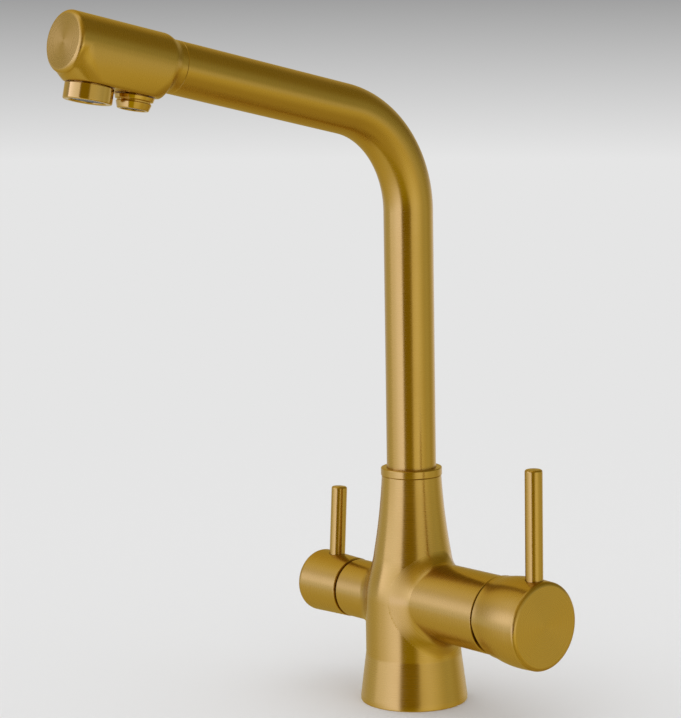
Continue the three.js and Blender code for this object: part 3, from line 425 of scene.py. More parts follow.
def band_faces(rings, base=0, closed=False):
    """Four-sided faces from each ring to the next, with points numbered from base."""
    count, sides = rings.shape[:2]
    row = np.arange(sides)
    ahead = (row + 1) % sides
    faces = []
    for k in range(count if closed else count - 1):
        low, high = base + k * sides, base + ((k + 1) % count) * sides
        faces += np.stack([low + row, low + ahead, high + ahead, high + row], 1).tolist()
    return faces


def skin(name, *shells, closed=False):
    """An object made of shells of rings, with a flat end on each, or closed on itself as a
    turned ring is. It keeps each point's distance along its shell and the way the shell runs."""
    points, faces, along, lay = [], [], [], []
    for rings in shells:
        count, sides = rings.shape[:2]
        base = sum(len(part) for part in points)
        faces += band_faces(rings, base, closed)
        steps = np.linalg.norm(np.diff(rings, axis=0), axis=2).mean(axis=1)
        distance = np.concatenate([[0], np.cumsum(steps)])
        way = np.gradient(rings, axis=0)
        way /= np.maximum(np.linalg.norm(way, axis=2, keepdims=True), 1e-9)
        points.append(rings.reshape(-1, 3))
        along.append(np.repeat(distance, sides))
        lay.append(way.reshape(-1, 3))
        if not closed:
            row = np.arange(sides)
            faces.append((base + row[::-1]).tolist())
            faces.append((base + (count - 1) * sides + row).tolist())
    mesh = bpy.data.meshes.new(name)
    mesh.from_pydata((np.concatenate(points) * MM).tolist(), [], faces)
    values = mesh.attributes.new("along", "FLOAT", "POINT")
    values.data.foreach_set("value", np.concatenate(along) * MM)
    values = mesh.attributes.new("lay", "FLOAT_VECTOR", "POINT")
    values.data.foreach_set("vector", np.concatenate(lay).ravel())
    tidy_faces(mesh)
    return add_object(name, mesh)


def shade(mesh):
    """Shades a mesh smoothly between its sharp edges."""
    mesh.shade_smooth()
    mesh.set_sharp_from_angle(angle=SHARP)


def tidy_faces(mesh):
    """Points every face outwards and shades the mesh smoothly between its sharp edges."""
    shape = bmesh.new()
    shape.from_mesh(mesh)
    bmesh.ops.remove_doubles(shape, verts=shape.verts, dist=1e-7)
    bmesh.ops.recalc_face_normals(shape, faces=shape.faces)
    shape.to_mesh(mesh)
    shape.free()
    shade(mesh)


def drill(piece, *tools):
    """Cuts tools out of a piece and deletes them."""
    for tool in tools:
        cut = piece.modifiers.new("cut", "BOOLEAN")
        cut.operation = "DIFFERENCE"
        cut.solver = "EXACT"
        cut.object = tool
    bpy.context.view_layer.update()
    view = bpy.context.evaluated_depsgraph_get()
    mesh = bpy.data.meshes.new_from_object(piece.evaluated_get(view))
    piece.modifiers.clear()
    piece.data = mesh
    tidy_faces(mesh)
    for tool in tools:
        bpy.data.objects.remove(tool)
    return piece


def merge(name, *pieces):
    """Joins pieces into one object."""
    shape = bmesh.new()
    for piece in pieces:
        shape.from_mesh(piece.data)
        bpy.data.objects.remove(piece)
    mesh = bpy.data.meshes.new(name)
    shape.to_mesh(mesh)
    shape.free()
    shade(mesh)
    return add_object(name, mesh)


def rod(name, radius, start, end, matrix, sides=HOLE_SIDES):
    return skin(name, placed(turned([(radius, start), (radius, end)], sides), matrix))


def dress(piece, node, body, slot):
    """Puts a finished piece on its body in place of its node, with weighted normals."""
    piece.data.materials.clear()
    piece.data.materials.append(MATERIALS[slot])
    weighted = piece.modifiers.new("weighted", "WEIGHTED_NORMAL")
    weighted.keep_sharp = True
    weighted.weight = 100
    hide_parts(node)
    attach(piece, body)


# ---- Frames of the tap -----------------------------------------------------------------------

# In a branch's frame +Z runs out along the branch and +X is up.
MIXER_FRAME = Matrix(((0, 0, 1, 0), (0, -1, 0, 0), (1, 0, 0, MIXER_HEIGHT), (0, 0, 0, 1)))
FILTER_FRAME = Matrix(((0, 0, -1, 0), (0, 1, 0, 0), (1, 0, 0, FILTER_HEIGHT), (0, 0, 0, 1)))
FILTER_HANDLE_FRAME = FILTER_FRAME @ Matrix.Rotation(HANDLE_LEAN, 4, "Z")

BEND_TURN = math.pi / 2 - ARM_RISE
BEND_START = BODY_HEIGHT + RISER_HEIGHT
BEND_END = Vector((
    0, -BEND_RADIUS * (1 - math.cos(BEND_TURN)), BEND_START + BEND_RADIUS * math.sin(BEND_TURN),
))
ARM_DIRECTION = Vector((0, -math.cos(ARM_RISE), math.sin(ARM_RISE)))
ARM_LENGTH = (SPOUT_REACH + BEND_END.y) / math.cos(ARM_RISE)

# The head's frame starts at the centre of its end disc: +Z back along the arm, +Y to the outlets.
HEAD_FRAME = (
    Matrix.Translation(BEND_END + ARM_DIRECTION * ARM_LENGTH)
    @ Matrix.Rotation(-(math.pi / 2 + ARM_RISE), 4, "X")
)


# ---- Body ------------------------------------------------------------------------------------

def column_outline():
    """Half outline of the column, foot to top, between its two rims."""
    taper = (CONE_BASE_RADIUS - BODY_TOP_RADIUS) / CONE_HEIGHT
    lead = 8
    flare = curve([
        (FOOT_RADIUS, FOOT_RIM), ((FOOT_RADIUS + WAIST_RADIUS) / 2, FLARE_HEIGHT * 0.55),
        (WAIST_RADIUS, FLARE_HEIGHT),
    ], 16)
    shoulder = curve([
        (WAIST_RADIUS, MIXER_HEIGHT - EDGE), (WAIST_RADIUS, MIXER_HEIGHT + lead),
        (CONE_BASE_RADIUS + taper * lead, CONE_START - lead), (CONE_BASE_RADIUS, CONE_START),
    ], 24)
    cone = curve([
        (CONE_BASE_RADIUS, CONE_START),
        ((CONE_BASE_RADIUS + BODY_TOP_RADIUS) / 2 - 2 * CONE_HOLLOW, CONE_START + CONE_HEIGHT / 2),
        (BODY_TOP_RADIUS, BODY_HEIGHT - EDGE),
    ], 16)
    return np.concatenate([flare, shoulder, cone[1:]])


COLUMN = column_outline()


def column_radius(height):
    return np.interp(height, COLUMN[:, 1], COLUMN[:, 0])


def branch_barrel(height, radius, bore, reach, matrix):
    """A branch that flares into the column along a quarter-circle fillet, with its bore."""
    sides, steps = BODY_SIDES, 20
    angles = np.linspace(0, FULL_TURN, sides, endpoint=False)
    up, side = np.cos(angles), np.sin(angles)
    beside = min(FILLET_BESIDE, WAIST_RADIUS * FILLET_LIMIT - radius)
    furthest = np.where(up > 0, FILLET_ABOVE, FILLET_BELOW)
    fillet = beside + (furthest - beside) * up ** 2

    def ring(distance, along):
        distance = np.broadcast_to(distance, (sides,))
        return np.stack([distance * up, distance * side, np.broadcast_to(along, (sides,))], 1)

    def wall(distance):
        return np.sqrt(column_radius(height + distance * up) ** 2 - (distance * side) ** 2)

    rings = [ring(radius + fillet, wall(radius + fillet) - BRANCH_ROOT)]
    for turn in np.linspace(math.pi / 2, 0, steps + 1):
        distance = radius + fillet * (1 - math.cos(turn))
        rings.append(ring(distance, wall(distance) + fillet * (1 - math.sin(turn))))
    floor = reach - BORE_SHOWN
    rim = rounded([
        (radius, floor, 0), (radius, reach, EDGE), (bore, reach, EDGE / 2), (bore, floor, 0),
    ])
    rings += [ring(*point) for point in rim[1:]]
    rings.append(ring(bore, floor - 1))
    return placed(np.array(rings), matrix)


def build_sleeve():
    """The sleeve that the filter knob turns against. It closes the view into the seam."""
    inner, start = FILTER_BORE + SLEEVE_STEP, FILTER_REACH - SLEEVE_DEPTH
    end = FILTER_REACH + SEAM - CLEARANCE
    profile = [(inner, start), (SLEEVE_RADIUS, start), (SLEEVE_RADIUS, end), (inner, end)]
    return skin("sleeve", placed(turned(profile), FILTER_FRAME), closed=True)


def build_body():
    foot = rounded([(AXIS, 0, 0), (FOOT_RADIUS, 0, EDGE), (FOOT_RADIUS, FOOT_RIM, 0)])
    top = rounded([
        (BODY_TOP_RADIUS, BODY_HEIGHT - 2 * EDGE, 0), (BODY_TOP_RADIUS, BODY_HEIGHT, EDGE),
        (SOCKET_RADIUS, BODY_HEIGHT, EDGE / 2), (SOCKET_RADIUS, BODY_HEIGHT - SOCKET_SHOWN, 0),
    ])
    profile = [*foot[1:-1], *COLUMN, *top[1:], (SOCKET_RADIUS, BODY_HEIGHT - SOCKET_SHOWN)]
    column = skin("column", turned(profile, BODY_SIDES))
    holes = [(x, y, INLET_RADIUS, INLET_DEPTH) for x, y in INLETS]
    holes += [(x, y, STUD_RADIUS, STUD_DEPTH) for x, y in STUDS]
    tools = [
        rod(f"hole_{i}", radius, -1, depth, Matrix.Translation((x, y, 0)))
        for i, (x, y, radius, depth) in enumerate(holes)
    ]
    inner, outer = [
        GASKET_RADIUS + side * (GASKET_WIDTH / 2 + CLEARANCE) for side in (-1, 1)
    ]
    groove = [(inner, -1), (outer, -1), (outer, GASKET_DEPTH + CLEARANCE),
              (inner, GASKET_DEPTH + CLEARANCE)]
    tools.append(skin("groove", turned(groove), closed=True))
    backwards = (
        Matrix.Translation((0, 0, BODY_HEIGHT - SCREW_DROP))
        @ Matrix.Rotation(-math.pi / 2, 4, "X")
    )
    tools.append(
        rod("screw_hole", GRUB_HOLE, SOCKET_RADIUS - 1, FOOT_RADIUS, backwards, SCREW_SIDES)
    )
    drill(column, *tools)
    branches = skin(
        "branches",
        branch_barrel(MIXER_HEIGHT, MIXER_BRANCH_RADIUS, MIXER_BORE, MIXER_REACH, MIXER_FRAME),
        branch_barrel(FILTER_HEIGHT, FILTER_BRANCH_RADIUS, FILTER_BORE, FILTER_REACH, FILTER_FRAME),
    )
    whole = merge("body_shell", column, branches, build_sleeve())
    dress(whole, "body_casting", "body", "brushed_brass")


def build_collar():
    bottom = BODY_HEIGHT + SEAM_PRESSED
    top = BODY_HEIGHT + COLLAR_HEIGHT
    bore = TUBE_RADIUS + COLLAR_GAP
    profile = rounded([
        (bore, bottom + 1, 0), (bore, bottom, EDGE / 2), (COLLAR_RADIUS, bottom, EDGE / 2),
        (COLLAR_RADIUS, top, EDGE), (bore, top, EDGE / 2), (bore, bottom + 2, 0),
    ])
    collar = skin("collar", turned(profile, RING_SIDES), closed=True)
    dress(collar, "collar_ring", "body", "brushed_brass")


# ---- Spout -----------------------------------------------------------------------------------

def spout_stations(start, arm_distance):
    """Points and directions along the spout: up the riser, round the bend and along the arm."""
    stations = [((0, 0, z), (0, 0, 1)) for z in np.linspace(start, BEND_START, 9)]
    for turn in np.linspace(0, BEND_TURN, 49)[1:]:
        point = (0, -BEND_RADIUS * (1 - math.cos(turn)), BEND_START + BEND_RADIUS * math.sin(turn))
        stations.append((point, (0, -math.sin(turn), math.cos(turn))))
    for distance in np.linspace(0, arm_distance, 9)[1:]:
        stations.append((tuple(BEND_END + ARM_DIRECTION * distance), tuple(ARM_DIRECTION)))
    return stations


def build_tube():
    end = ARM_LENGTH - HEAD_LENGTH - HEAD_NECK - SEAM_PRESSED
    outside = swept(spout_stations(TUBE_START, end - TUBE_LIP), TUBE_RADIUS)
    mouth = [(tuple(BEND_END + ARM_DIRECTION * end), tuple(ARM_DIRECTION))]
    lip = swept(mouth, TUBE_RADIUS - TUBE_LIP)
    inside = swept(spout_stations(TUBE_START, end), TUBE_BORE)[::-1]
    rings = np.concatenate([outside, lip, inside])
    dress(skin("spout_bend", rings, closed=True), "spout_tube", "spout", "brushed_brass")


def soft_least(a, b, blend):
    """The lesser of two distances, rounded where they cross."""
    share = np.clip(0.5 + 0.5 * (b - a) / blend, 0, 1)
    return b + (a - b) * share - blend * share * (1 - share)


def boss_distance(x, y, z):
    """How far points lie outside the boss: the outline round two circles, one over each outlet,
    that leaves the cylinder's sides upright and draws in to the outlets, cut by a flat face."""
    depth = np.clip(y / OUTLET_FACE, 0, 1) ** 2
    front = HEAD_RADIUS + (AERATOR_RADIUS + AERATOR_WALL - HEAD_RADIUS) * depth
    back = HEAD_RADIUS + (NOZZLE_RADIUS + NOZZLE_WALL - HEAD_RADIUS) * depth
    lean = BOSS_LEAN * (1 - depth)
    spread = NOZZLE_AT - AERATOR_AT + 2 * lean
    aside, behind = np.abs(x), z - (AERATOR_AT - lean)
    slope = (front - back) / spread
    run = np.sqrt(1 - slope ** 2)
    place = run * behind - slope * aside
    beside = aside * run + behind * slope - front
    outline = np.where(
        place < 0, np.hypot(aside, behind) - front,
        np.where(place > run * spread, np.hypot(aside, behind - spread) - back, beside),
    )
    return np.maximum(-soft_least(-outline, OUTLET_FACE - y, BOSS_EDGE), -y)


def head_section(angles, along):
    """Distance from the arm's axis to the head's skin, at each angle and place along the arm."""
    # The skin is looked for between these two distances, by halving what lies between them.
    low = np.full((len(along), len(angles)), 6.0)
    high = np.full_like(low, 30.0)
    place = np.broadcast_to(along[:, None], low.shape)
    for _ in range(40):
        middle = (low + high) / 2
        across, down = middle * np.sin(angles), middle * np.cos(angles)
        blend = HEAD_BLEND * np.clip(down / HEAD_BLEND_DEPTH, 0.01, 1)
        boss = boss_distance(across, down, place)
        outside = soft_least(middle - HEAD_RADIUS, boss, blend) > 0
        high = np.where(outside, middle, high)
        low = np.where(outside, low, middle)
    return (low + high) / 2


def build_head():
    angles = np.linspace(0, FULL_TURN, HEAD_SIDES, endpoint=False)
    step_start = HEAD_LENGTH - HEAD_STEP
    neck_end = HEAD_LENGTH + HEAD_NECK
    along = np.concatenate([
        np.linspace(DISC_EDGE, BOSS_START, 32), np.linspace(BOSS_START, BOSS_END, 60)[1:],
        np.linspace(BOSS_END, step_start, 40)[1:], np.linspace(step_start, HEAD_LENGTH, 25)[1:],
        [HEAD_LENGTH + 0.5, neck_end - TUBE_LIP],
    ])
    section = head_section(angles, along) - FACET_DROP / 2
    step = np.clip((along - step_start) / HEAD_STEP, 0, 1)[:, None]
    section = TUBE_RADIUS + (section - TUBE_RADIUS) * (1 + np.cos(math.pi * step)) / 2

    def ring(distance, place):
        return np.stack([
            distance * np.sin(angles), distance * np.cos(angles), np.full(HEAD_SIDES, place),
        ], 1)

    rings = [ring(section[0] - 3 * DISC_EDGE, FACET_DROP)]
    for turn in np.linspace(0, math.pi / 2, 9)[:-1]:
        rings.append(ring(
            section[0] - DISC_EDGE * (1 - math.sin(turn)),
            FACET_DROP + (DISC_EDGE - FACET_DROP) * (1 - math.cos(turn)),
        ))
    rings += [ring(distance, place) for distance, place in zip(section, along)]
    rings += [
        ring(TUBE_RADIUS - TUBE_LIP, neck_end), ring(TUBE_BORE, neck_end),
        ring(TUBE_BORE, neck_end - 2),
    ]
    head = skin("head_shell", placed(np.array(rings), HEAD_FRAME))
    dress(head, "outlet_head", "spout", "brushed_brass")


def outlet_frame(place):
    """+Z out of an outlet, from the arm's axis."""
    return HEAD_FRAME @ Matrix.Translation((0, 0, place)) @ Matrix.Rotation(-math.pi / 2, 4, "X")


def build_aerator():
    shoulder = OUTLET_FACE + CLEARANCE
    inside, bottom = shoulder - THREAD_SHOWN, shoulder + AERATOR_DROP
    profile = rounded([
        (AERATOR_BORE, inside, 0), (AERATOR_RADIUS - 2, inside, 0),
        (AERATOR_RADIUS - 2, shoulder, 0), (AERATOR_RADIUS, shoulder, 0.3),
        (AERATOR_RADIUS, bottom, 0.5), (AERATOR_BORE, bottom, 0.7),
        (AERATOR_BORE, bottom - 3, 0),
    ])
    rings = placed(turned(profile, RING_SIDES), outlet_frame(AERATOR_AT))
    dress(
        skin("aerator_ring", rings, closed=True), "aerator_housing", "spout", "polished_brass",
    )
    grille = sieve("aerator_sieve", AERATOR_BORE - CLEARANCE, bottom - SIEVE_DROP)
    dress(grille, "aerator_insert", "spout", "grey_plastic")


def sieve(name, radius, level):
    """A round plate with a close pattern of six-sided holes, its face at a level in the
    aerator's frame."""
    shape = bmesh.new()
    rows = int(radius / SIEVE_PITCH) + 2
    corners = 6
    bottom = level - SIEVE_DEPTH
    turns = [FULL_TURN * (k + 0.5) / corners for k in range(corners)]
    sizes = ((SIEVE_PITCH / math.sqrt(3), level), (SIEVE_HOLE / 2, level), (SIEVE_HOLE / 2, bottom))
    matrix = outlet_frame(AERATOR_AT)
    for row in range(-rows, rows + 1):
        for column in range(-rows, rows + 1):
            x = SIEVE_PITCH * (column + 0.5 * (row % 2))
            y = SIEVE_PITCH * row * math.sqrt(3) / 2
            if math.hypot(x, y) > radius - SIEVE_PITCH * 0.75:
                continue
            loops = [
                [
                    shape.verts.new(matrix @ Vector((
                        x + size * math.cos(t), y + size * math.sin(t), height,
                    )) * MM)
                    for t in turns
                ]
                for size, height in sizes
            ]
            for outer, inner in zip(loops, loops[1:]):
                for k in range(corners):
                    j = (k + 1) % corners
                    shape.faces.new((outer[k], outer[j], inner[j], inner[k]))
    bmesh.ops.remove_doubles(shape, verts=shape.verts, dist=1e-5)
    mesh = bpy.data.meshes.new("cells")
    shape.to_mesh(mesh)
    shape.free()
    cells = add_object("cells", mesh)
    inner, lip = radius - SIEVE_RIM, level + 0.3
    rim = rounded([
        (inner, bottom, 0), (radius, bottom, 0), (radius, lip, 0.25), (inner, lip, 0.25),
        (inner, level - 1, 0),
    ])
    edge = skin("edge", placed(turned(rim), matrix), closed=True)
    floor = rod("floor_disc", radius - 0.5, bottom - 0.4, bottom, matrix)
    return merge(name, cells, edge, floor)


def build_nozzle():
    face = OUTLET_FACE + CLEARANCE
    inside, tip = face - THREAD_SHOWN, face + NOZZLE_DROP
    groove_top, groove_bottom = face + NOZZLE_DROP * 0.3, face + NOZZLE_DROP * 0.5
    lower = (NOZZLE_RADIUS + NOZZLE_TIP_RADIUS) / 2
    neck = NOZZLE_TIP_RADIUS + 0.6
    profile = rounded([
        (NOZZLE_MOUTH, inside, 0), (NOZZLE_MOUTH + 1, inside, 0), (NOZZLE_MOUTH + 1, face, 0),
        (NOZZLE_RADIUS, face, 0.3), (NOZZLE_RADIUS - EDGE, groove_top, 0.3),
        (neck, groove_top + 0.3, 0.2), (neck, groove_bottom - 0.2, 0.2),
        (lower, groove_bottom, 0.3), (NOZZLE_TIP_RADIUS, tip, 0.5), (NOZZLE_MOUTH, tip, 0.4),
        (NOZZLE_MOUTH, tip - 3, 0),
    ])
    rings = placed(turned(profile, RING_SIDES), outlet_frame(NOZZLE_AT))
    dress(skin("nozzle_ring", rings, closed=True), "filter_nozzle", "spout", "polished_brass")


# ---- Handles ---------------------------------------------------------------------------------

def build_lever(name, node, body, radius, seat, top, matrix):
    """A plain pin with a rounded top, its foot in the handle's spot face."""
    profile = rounded([
        (AXIS, seat, 0), (radius, seat, 0.15), (radius, top, 1), (AXIS, top, 0),
    ], 8)
    dress(skin(name, placed(turned(profile, PIN_SIDES), matrix)), node, body, "brushed_brass")


def lever_frame(matrix, place):
    """+Z up along a lever, from its handle's axis."""
    return matrix @ Matrix.Translation((0, 0, place)) @ Matrix.Rotation(math.pi / 2, 4, "Y")


def screw_frame(matrix, place):
    """+Z down along a handle's screw, from the handle's axis."""
    return lever_frame(matrix, place) @ Matrix.Rotation(math.pi, 4, "Y")


def build_mixer_handle():
    start = MIXER_REACH + SEAM
    end = start + HUB_LENGTH
    flare = curve([
        (HUB_RIM_RADIUS, start + EDGE), (HUB_RIM_RADIUS, start + HUB_LENGTH * 0.2),
        (HUB_SWELL, start + HUB_LENGTH * 0.3), (HUB_END_RADIUS, end - 1.5 * DISC_EDGE),
    ], 24)
    floor, inside = start + HUB_CAVITY, HUB_RIM_RADIUS - HUB_WALL
    rim = rounded([
        (HUB_BOSS_RADIUS, floor, 0), (inside, floor, 0), (inside, start, EDGE / 2),
        (HUB_RIM_RADIUS, start, EDGE), (HUB_RIM_RADIUS, start + 2 * EDGE, 0),
    ])
    back = rounded([
        (HUB_END_RADIUS, end - 1.5 * DISC_EDGE, 0), (HUB_END_RADIUS, end, DISC_EDGE),
        (AXIS, end, 0),
    ], 12)
    boss = [(AXIS, start + 1), (HUB_BOSS_RADIUS, start + 1)]
    rings = turned([*boss, *rim[:-1], *flare[1:], *back[1:]], BODY_SIDES)
    # The underside is cut back, so that it clears the branch when the handle tilts.
    cut_back = np.maximum(0, -rings[..., 0]) * math.tan(TILT_RANGE)
    fade = np.clip((end - rings[..., 2]) / HUB_LENGTH, 0, 1)
    rings[..., 2] += cut_back * fade
    hub = skin("mixer_hub_shell", placed(rings, MIXER_FRAME))
    seat = HUB_END_RADIUS - HUB_SPOT_DEPTH
    up = lever_frame(MIXER_FRAME, end - LEVER_INSET)
    down = screw_frame(MIXER_FRAME, floor - HUB_SCREW_INSET)
    outside = HUB_END_RADIUS + TOOL_RUN
    drill(
        hub,
        rod("spot_face", LEVER_RADIUS + SPOT_GAP, seat, outside, up),
        rod("screw_hole", GRUB_HOLE, HUB_BOSS_RADIUS, outside, down, SCREW_SIDES),
    )
    dress(hub, "mixer_hub", "mixer_handle", "brushed_brass")
    build_lever(
        "mixer_pin", "mixer_lever", "mixer_handle", LEVER_RADIUS, seat + SPOT_LIFT, LEVER_TOP, up,
    )


def build_filter_handle():
    start = FILTER_REACH + SEAM
    end = start + KNOB_LENGTH
    floor, inside = start + KNOB_HOLLOW, KNOB_RIM_RADIUS - KNOB_WALL
    profile = rounded([
        (AXIS, floor, 0), (inside, floor, 0), (inside, start, EDGE / 2),
        (KNOB_RIM_RADIUS, start, EDGE), (KNOB_RADIUS, end, KNOB_ROUND), (AXIS, end, 0),
    ], 10)
    knob = skin("filter_knob_shell", placed(turned(profile, RING_SIDES), FILTER_HANDLE_FRAME))
    seat = KNOB_RADIUS - KNOB_SPOT_DEPTH
    up = lever_frame(FILTER_HANDLE_FRAME, start + KNOB_LEVER_AT)
    down = screw_frame(FILTER_HANDLE_FRAME, floor + KNOB_SCREW_INSET)
    outside = KNOB_RADIUS + TOOL_RUN
    drill(
        knob,
        rod("spot_face", KNOB_LEVER_RADIUS + SPOT_GAP, seat, outside, up),
        rod("screw_hole", GRUB_HOLE, KNOB_SCREW_FLOOR, outside, down, SCREW_SIDES),
    )
    dress(knob, "filter_knob", "filter_handle", "brushed_brass")
    build_lever(
        "filter_pin", "filter_lever", "filter_handle", KNOB_LEVER_RADIUS, seat + SPOT_LIFT,
        KNOB_LEVER_TOP, up,
    )


# ---- Camera ----------------------------------------------------------------------------------

PICTURE = (681, 718)  # pixels
FOCAL_LENGTH = 2300  # pixels
CENTRE_DROP = 40  # pixels from the optical axis down to the picture's centre
CAMERA_BEARING = math.radians(47.53)  # from -Y towards +X
CAMERA_DISTANCE = 1116.57
CAMERA_HEIGHT = 319.3
CAMERA_PITCH = math.radians(6.6)
CAMERA_PAN = math.radians(1.72)
CAMERA_ROLL = math.radians(-0.72)


def place_camera():
    """The photograph's camera, fitted to the tap's axes."""
    towards = Matrix.Rotation(CAMERA_BEARING, 3, "Z")
    look = towards @ Matrix.Rotation(math.pi / 2 - CAMERA_PITCH, 3, "X")
    look = look @ Matrix.Rotation(CAMERA_PAN, 3, "Y") @ Matrix.Rotation(CAMERA_ROLL, 3, "Z")
    lens = bpy.data.cameras.new("camera")
    lens.sensor_width = 36
    lens.lens = FOCAL_LENGTH * lens.sensor_width / max(PICTURE)
    lens.shift_y = -CENTRE_DROP / max(PICTURE)
    lens.clip_start = 0.05
    camera = add_object("camera", lens)
    camera.matrix_world = look.to_4x4()
    camera.location = towards @ Vector((0, -CAMERA_DISTANCE, CAMERA_HEIGHT)) * MM
    bpy.context.scene.camera = camera


# ---- Stage and light -------------------------------------------------------------------------

ROOM = 3800  # radius of the paper backdrop
FLOOR_SHOWN = 2600  # radius of its flat part
PAPER_PALE, PAPER_SHADED = "#e5e5e5", "#9e9e9e"
SHADE_FROM, SHADE_TO = 0.125, 0.43  # heights in metres between which the paper falls into shade
SHADOW_FROM, SHADOW_TO = 0.25, 0.9  # metres from the tap between which its shadow fades out
LAMP_STRENGTH = 0.6
LAMP_SPREAD = math.radians(120)
LAMP_LEAN = (math.radians(14), math.radians(-16), 0)


def turned_sheet(name, profile, sides):
    """A sheet turned about the tap's axis, open at both ends."""
    rings = turned(profile, sides)
    mesh = bpy.data.meshes.new(name)
    mesh.from_pydata((rings.reshape(-1, 3) * MM).tolist(), [], band_faces(rings))
    mesh.shade_smooth()
    sheet = add_object(name, mesh)
    return sheet


def stage_paper():
    """Pale paper: a floor that curves up into a wall all round, which falls into shade."""
    rise = ROOM - FLOOR_SHOWN
    profile = [(AXIS, 0), (600, 0), (1600, 0)]
    for turn in np.linspace(0, math.pi / 2, 25):
        profile.append((FLOOR_SHOWN + rise * math.sin(turn), rise * (1 - math.cos(turn))))
    paper = turned_sheet("paper_backdrop", profile, RING_SIDES)
    material, tree = new_material("paper_matt")
    place = add_node(tree, "ShaderNodeTexCoord").outputs["Object"]
    slant = math.tan(-CAMERA_ROLL)  # keeps the shade level in the picture
    upwards = (slant * math.cos(CAMERA_BEARING), slant * math.sin(CAMERA_BEARING), 1)
    height = add_node(
        tree, "ShaderNodeVectorMath", {0: place, 1: upwards}, operation="DOT_PRODUCT",
    ).outputs["Value"]
    shade_share = add_node(
        tree, "ShaderNodeMapRange",
        {"Value": height, "From Min": SHADE_FROM, "From Max": SHADE_TO},
    ).outputs["Result"]
    colour = add_node(
        tree, "ShaderNodeMix",
        {"Factor": shade_share, 6: linear(PAPER_PALE), 7: linear(PAPER_SHADED)},
        data_type="RGBA",
    ).outputs[2]
    lit = add_node(
        tree, "ShaderNodeBsdfPrincipled",
        {"Base Color": colour, "Roughness": 1, "Specular IOR Level": 0},
    ).outputs["BSDF"]
    even = add_node(tree, "ShaderNodeEmission", {"Color": colour}).outputs["Emission"]
    ray = add_node(tree, "ShaderNodeLightPath").outputs
    seen = add_node(
        tree, "ShaderNodeMath", {0: ray["Is Camera Ray"], 1: ray["Is Glossy Ray"]},
        operation="MAXIMUM",
    ).outputs["Value"]
    seen = add_node(
        tree, "ShaderNodeMath", {0: seen, 1: ray["Is Transmission Ray"]}, operation="MAXIMUM",
    ).outputs["Value"]
    distance = add_node(
        tree, "ShaderNodeVectorMath", {0: place}, operation="LENGTH",
    ).outputs["Value"]
    far = add_node(
        tree, "ShaderNodeMapRange",
        {"Value": distance, "From Min": SHADOW_FROM, "From Max": SHADOW_TO},
        interpolation_type="SMOOTHSTEP",
    ).outputs["Result"]
    share = add_node(tree, "ShaderNodeMath", {0: seen, 1: far}, operation="MULTIPLY").outputs[0]
    shader = add_node(tree, "ShaderNodeMixShader", {0: share, 1: lit, 2: even})
    finish_material(tree, shader.outputs["Shader"])
    paper.data.materials.append(material)
    # The metal mirrors the studio below and never this paper, so Is Glossy Ray does nothing here.
    paper.visible_glossy = False


STUDIO_GAIN = 5  # the ramps' colours go up to 1, and the brightest panel is this bright

# What the metal mirrors, as linear colours by bearing from the camera in degrees, positive to its
# right: pale and bluish on the left, dark behind the camera and warm on the right. These colours
# were worked back by hand from colours read off the photograph along rows across the tap, divided
# by the brass's own colour, and then adjusted. report.md says which rules that goes against.
FLOOR_RING = [
    (-180, (0.48, 0.37, 0.1)), (-140, (0.56, 0.46, 0.16)), (-110, (0.64, 0.55, 0.28)),
    (-60, (0.7, 0.63, 0.45)), (-34, (0.7, 0.63, 0.45)), (-30, (0.45, 0.36, 0.05)),
    (4, (0.45, 0.36, 0.05)), (10, (0.58, 0.48, 0.2)), (60, (0.53, 0.43, 0.17)),
    (110, (0.44, 0.34, 0.14)), (180, (0.48, 0.37, 0.1)),
]
LOW_RING = [
    (-180, (0.5, 0.4, 0.12)), (-123, (0.58, 0.5, 0.24)), (-99, (0.66, 0.6, 0.42)),
    (-80, (0.8, 0.74, 0.85)), (-63, (1, 0.98, 1.7)), (-40, (1.22, 1.24, 2.8)),
    (-33, (1.22, 1.24, 2.8)), (-30, (0.47, 0.39, 0)), (4, (0.47, 0.39, 0)),
    (8, (0.86, 0.78, 0.5)), (36, (0.96, 0.9, 0.7)), (52, (0.8, 0.72, 0.36)),
    (68, (0.66, 0.54, 0.16)), (84, (0.7, 0.64, 0.4)), (98, (0.64, 0.56, 0.3)),
    (112, (0.56, 0.44, 0.1)), (150, (0.52, 0.44, 0.2)), (180, (0.5, 0.4, 0.12)),
]
LEVEL_RING = [
    (-180, (0.66, 0.64, 0.7)), (-117, (0.62, 0.62, 0.66)), (-93, (0.78, 0.78, 1.2)),
    (-73, (0.96, 1, 2.2)), (-56, (1.36, 1.42, 4)), (-38, (1.55, 1.6, 4.6)),
    (-33, (1.55, 1.6, 4.6)), (-30, (0.15, 0.07, 0)), (10, (0.15, 0.07, 0)),
    (14, (1, 0.95, 1.3)), (34, (1.17, 1.14, 1.8)), (50, (1.06, 1.03, 1.35)),
    (67, (0.75, 0.71, 0.72)), (78, (0.62, 0.59, 0.58)), (90, (0.64, 0.61, 0.56)),
    (108, (0.5, 0.46, 0.34)), (138, (0.9, 0.88, 1)), (160, (0.9, 0.88, 1)),
    (180, (0.66, 0.64, 0.7)),
]
